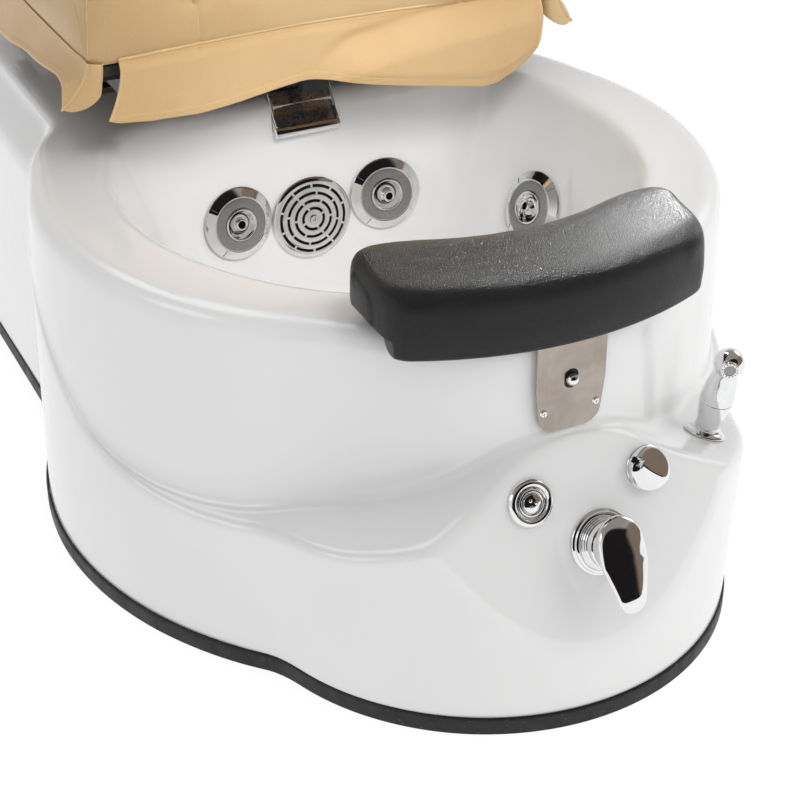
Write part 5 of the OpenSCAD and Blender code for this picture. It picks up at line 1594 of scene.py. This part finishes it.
# --- backrest cushion
def lean_clip(lo_y, hi_y):
    Li = np.array(LEAN.inverted(), float)
    Lf = np.array(LEAN, float)

    def f(a, b):
        q = b @ Li[:3, :3].T + Li[:3, 3]
        q[:, 1] = np.clip(q[:, 1], lo_y, hi_y)
        q[:, 0] = np.clip(q[:, 0], -0.281, 0.281)
        q[:, 2] = np.clip(q[:, 2], 0.072, 0.790)
        return q @ Lf[:3, :3].T + Lf[:3, 3]
    return f


def to_lean(c):
    Li = np.array(LEAN.inverted(), float)
    return c @ Li[:3, :3].T + Li[:3, 3]


back = stuffed("backrest_cushion_leather", "backrest_cushion", TAN, "backrest", "tan_leather", 0.0075, 0.005, 4.5, 0.022, clip=lean_clip(-0.135, -0.0165), hold=lambda c: to_lean(c)[:, 1] > -0.026)


def lean_groove(ob, fn, width, depth, mask=None):
    me = ob.data
    co = coords(me)
    n = vertex_normals(me)
    q = to_lean(co)
    Li = np.array(LEAN.inverted(), float)
    nl = n @ Li[:3, :3].T
    d = fn(q)
    w = np.clip(1 - (d / width) ** 2, 0, 1) ** 2
    if mask is not None:
        w = w * mask(q, nl)
    put(me, co - n * (w * depth)[:, None])


front = lambda q, n: (n[:, 1] < -0.35) * 1.0
for xx in (-0.158, 0.158):
    lean_groove(back, lambda q: np.abs(q[:, 0] - xx), 0.012, 0.007, front)
for zc in (0.205, 0.335, 0.465, 0.595):
    lean_groove(back, lambda q: np.abs(q[:, 2] - zc - 0.10 * (q[:, 0] / 0.158) ** 2 * 0.12), 0.013, 0.008, lambda q, n: (n[:, 1] < -0.35) * (np.abs(q[:, 0]) < 0.158))
lean_groove(back, lambda q: np.abs(q[:, 1] + 0.088), 0.006, 0.002, lambda q, n: (np.abs(n[:, 1]) < 0.9) * 1.0)
done(back, "backrest", "tan_leather", "backrest_cushion", fill=0.85)
tree = bvh_of(back)
LM = np.array(LEAN, float)


def from_lean(P):
    return np.asarray(P, float) @ LM[:3, :3].T + LM[:3, 3]


def lean_dir(v):
    return tuple(np.asarray(v, float) @ LM[:3, :3].T)


lines = []
for xx, nm in ((-0.158, "l"), (0.158, "r")):
    P, N = on_surface(tree, from_lean([(xx, -0.16, z) for z in np.linspace(0.10, 0.755, 200)]), 0.0004, lean_dir((0, 1, 0)))
    add_bead(f"back_seam_{nm}", even(P, 6), 0.0009, "backrest", PIPING, n=8)
    for off in (-0.008, 0.008):
        P, N = on_surface(tree, from_lean([(xx + off, -0.16, z) for z in np.linspace(0.105, 0.75, 200)]), 0.0002, lean_dir((0, 1, 0)))
        lines.append((even(P, 6), N))
loop = []
for t in np.linspace(0, 2 * math.pi, 480, endpoint=False):
    c_, s__ = math.cos(t), math.sin(t)
    loop.append((abs(c_) ** 0.1 * np.sign(c_) * 0.278, -0.088, 0.425 + abs(s__) ** 0.1 * np.sign(s__) * 0.35))
P, N = on_surface(tree, from_lean(loop), 0.0005)
Pc = even(np.concatenate([P[-20:], P, P[:20]]), 8)[20:-20]
add_bead("back_piping", Pc, 0.0022, "backrest", PIPING, closed=True)
add_stitches("back_stitches", lines, "backrest", 0.005)

# --- upholstered rear shell of the back, with a rear zip line and stitched seams
rear = stuffed("backrest_rear_cover", "backrest_shell", TAN, "backrest", "tan_leather", 0.0075, 0.0015, 1.0, 0.004, relax=3, clip=lambda a, b: b)
lean_groove(rear, lambda q: np.abs(q[:, 2] - 0.16), 0.007, 0.003, lambda q, n: (n[:, 1] > 0.5) * 1.0)
for xx in (-0.2, 0.2):
    lean_groove(rear, lambda q: np.abs(q[:, 0] - xx), 0.007, 0.003, lambda q, n: (n[:, 1] > 0.5) * (q[:, 2] > 0.16))
done(rear, "backrest", "tan_leather", "backrest_shell", fill=0.3)
tree = bvh_of(rear)
lines = []
for xx in (-0.2, 0.2):
    P, N = on_surface(tree, from_lean([(xx, 0.2, z) for z in np.linspace(0.165, 0.745, 160)]), 0.0003, lean_dir((0, -1, 0)))
    lines.append((even(P, 6), N))
P, N = on_surface(tree, from_lean([(x, 0.2, 0.16) for x in np.linspace(-0.262, 0.262, 160)]), 0.0002, lean_dir((0, -1, 0)))
add_bead("rear_zip", even(P, 5), 0.0016, "backrest", BLACK_PLASTIC)
add_stitches("rear_stitches", lines, "backrest", 0.005)

# --- head pillow
pil = stuffed("head_pillow_leather", "head_pillow", TAN, "backrest", "tan_leather", 0.005, 0.002, 3.0, 0.008, clip=lambda a, b: b)
done(pil, "backrest", "tan_leather", "head_pillow", fill=0.9)
tree = bvh_of(pil)
P, N = on_surface(tree, from_lean([(x, -0.3, 0.655) for x in np.linspace(-0.162, 0.162, 120)]), 0.0003, lean_dir((0, 1, 0)))
add_bead("pillow_seam", even(P, 6), 0.0009, "backrest", PIPING)

# --- arm pads
for nm, x0, x1, y0 in (("left", -0.388, -0.298, 0.096), ("right", 0.298, 0.388, 0.206)):
    def aclip(a, b):
        b = b.copy()
        b[:, 2] = np.maximum(b[:, 2], 0.7962)
        b[:, 0] = np.clip(b[:, 0], x0 - 0.006, x1 + 0.006)
        return b
    ar_ = stuffed(f"arm_{nm}_leather", f"arm_{nm}_pad", TAN, f"arm_{nm}", "tan_leather", 0.005, 0.003, 4.0, 0.009, clip=aclip, hold=lambda c: c[:, 2] < 0.7985)
    groove(ar_, lambda c: np.abs(c[:, 2] - 0.812), 0.005, 0.0015, lambda c, n: (np.abs(n[:, 2]) < 0.9) * 1.0)
    done(ar_, f"arm_{nm}", "tan_leather", f"arm_{nm}_pad", fill=0.8)
    tree = bvh_of(ar_)
    cxa, cya = (x0 + x1) / 2, (y0 + 0.574) / 2
    hx, hy = (x1 - x0) / 2, (0.574 - y0) / 2
    loop = []
    for t in np.linspace(0, 2 * math.pi, 360, endpoint=False):
        c_, s__ = math.cos(t), math.sin(t)
        loop.append((cxa + abs(c_) ** 0.25 * np.sign(c_) * hx * 1.1, cya + abs(s__) ** 0.08 * np.sign(s__) * (hy + 0.004), 0.812))
    P, N = on_surface(tree, loop, 0.0004)
    Pc = even(np.concatenate([P[-20:], P, P[:20]]), 6)[20:-20]
    add_bead(f"arm_{nm}_piping", Pc, 0.0018, f"arm_{nm}", PIPING, closed=True)

# ------------------------------------------------------------------ carried-over rigid nodes
soften_edges("seat_rails", "seat_slider", "seat_pan", "arm_posts", "arm_left_frame", "arm_right_frame", "backrest_frame", "base_frame", "slide_actuator", "recline_gearmotor", "control_box", width=1.2)
soften_edges("rear_access_panel", "cup_tray", "power_inlet", width=0.8)
soften_edges("levelling_feet", "drain_pump", "jet_pump", width=1.0)
soften_edges("fixing_screws", width=0.15)

# ------------------------------------------------------------------ floor, light
fl = bpy.data.meshes.new("floor")
fl.from_pydata([(-14, -14, -0.0005), (14, -14, -0.0005), (14, 14, -0.0005), (-14, 14, -0.0005)], [], [(0, 1, 2, 3)])
floor = bpy.data.objects.new("floor", fl)
SC.collection.objects.link(floor)
fm = M_("studio_floor")
fm.set(Roughness=0.9, Specular_IOR_Level=0.0, Emission_Strength=0.93)
fm.b.inputs["Emission Color"].default_value = (1, 1, 1, 1)
fm.color(fm.mix(fm.noise(0.8, 2.0), (0.13, 0.13, 0.13, 1), (0.135, 0.135, 0.135, 1)))
fl.materials.append(fm.m)

world = bpy.data.worlds.new("studio")
SC.world = world
world.use_nodes = True
nt = world.node_tree
nt.nodes.clear()
wout = nt.nodes.new("ShaderNodeOutputWorld")
tc = nt.nodes.new("ShaderNodeTexCoord")


def wmask(direction, inner, outer):
    """1 within inner degrees of a direction, falling to 0 at outer degrees."""
    v = nt.nodes.new("ShaderNodeVectorMath")
    v.operation = "DOT_PRODUCT"
    d = Vector(direction).normalized()
    v.inputs[1].default_value = d
    nv_ = nt.nodes.new("ShaderNodeVectorMath")
    nv_.operation = "NORMALIZE"
    nt.links.new(tc.outputs["Generated"], nv_.inputs[0])
    nt.links.new(nv_.outputs[0], v.inputs[0])
    r = nt.nodes.new("ShaderNodeMapRange")
    r.interpolation_type = "SMOOTHSTEP"
    r.inputs["From Min"].default_value = math.cos(math.radians(outer))
    r.inputs["From Max"].default_value = math.cos(math.radians(inner))
    nt.links.new(v.outputs["Value"], r.inputs["Value"])
    return r.outputs["Result"]


def wmix(fac, a, b):
    n = nt.nodes.new("ShaderNodeMix")
    n.data_type = "RGBA"
    nt.links.new(fac, n.inputs[0])
    for i, x in ((6, a), (7, b)):
        if isinstance(x, tuple):
            n.inputs[i].default_value = x
        else:
            nt.links.new(x, n.inputs[i])
    return n.outputs[2]


# what the chrome sees: a pale band low down, a warm grey room, a dark corner behind the camera and three soft boxes
refl = wmix(wmask((0, 0, 1), 38, 78), (0.80, 0.80, 0.80, 1), (0.30, 0.27, 0.245, 1))
refl = wmix(wmask((0.64, -0.72, 0.2), 18, 34), refl, (0.19, 0.155, 0.13, 1))
refl = wmix(wmask((-0.05, -0.98, 0.12), 48, 56), refl, (0.012, 0.010, 0.011, 1))
refl = wmix(wmask((0.88, -0.48, 0.22), 24, 31), refl, (0.21, 0.16, 0.125, 1))
refl = wmix(wmask((-0.2, 0.5, 0.85), 12, 20), refl, (2.2, 2.2, 2.2, 1))
refl = wmix(wmask((-0.95, 0.05, 0.5), 8, 13), refl, (2.4, 2.4, 2.4, 1))
refl = wmix(wmask((0.9, 0.3, 0.55), 10, 18), refl, (1.6, 1.6, 1.6, 1))
diff = wmix(wmask((0.1, -0.35, 1.0), 10, 95), (0.35, 0.35, 0.36, 1), (0.82, 0.82, 0.82, 1))
lp = nt.nodes.new("ShaderNodeLightPath")
both = wmix(lp.outputs["Is Glossy Ray"], diff, refl)
bg = nt.nodes.new("ShaderNodeBackground")
nt.links.new(both, bg.inputs["Color"])
bg.inputs["Strength"].default_value = 1.0
nt.links.new(bg.outputs[0], wout.inputs["Surface"])


def area(name, loc, target, size, power, size_y=None, glossy=True, color=(1, 1, 1)):
    l = bpy.data.lights.new(name, "AREA")
    l.shape = "RECTANGLE" if size_y else "SQUARE"
    l.size = size
    if size_y:
        l.size_y = size_y
    l.energy = power
    l.color = color
    o = bpy.data.objects.new(name, l)
    o.location = loc
    o.rotation_mode = "QUATERNION"
    o.rotation_quaternion = (Vector(target) - Vector(loc)).to_track_quat("-Z", "Y")
    SC.collection.objects.link(o)
    o.visible_glossy = glossy
    o.visible_camera = False
    return o


area("key_right", (1.6, -1.6, 1.9), (0.05, 0.0, 0.25), 1.4, 11, glossy=False, color=(1.0, 0.99, 0.975))
area("top_back", (-0.5, 1.4, 2.6), (0, 0.1, 0.4), 1.2, 3, glossy=False)
bowl = area("bowl_fill", (0.0, -0.50, 0.98), (0.0, 0.14, 0.24), 0.25, 0.55, glossy=False)
bowl.data.spread = math.radians(62)

# a strip behind the right armrest that only the footrest cushion catches
glint = area("pad_glint", (0.84, 0.34, 0.95), (0.22, -0.36, 0.46), 0.20, 13.5, size_y=0.26)
only_pad = bpy.data.collections.new("glint_receivers")
for o_ in SC.objects:
    if o_.name.startswith("footrest_pad"):
        only_pad.objects.link(o_)
glint.light_linking.receiver_collection = only_pad
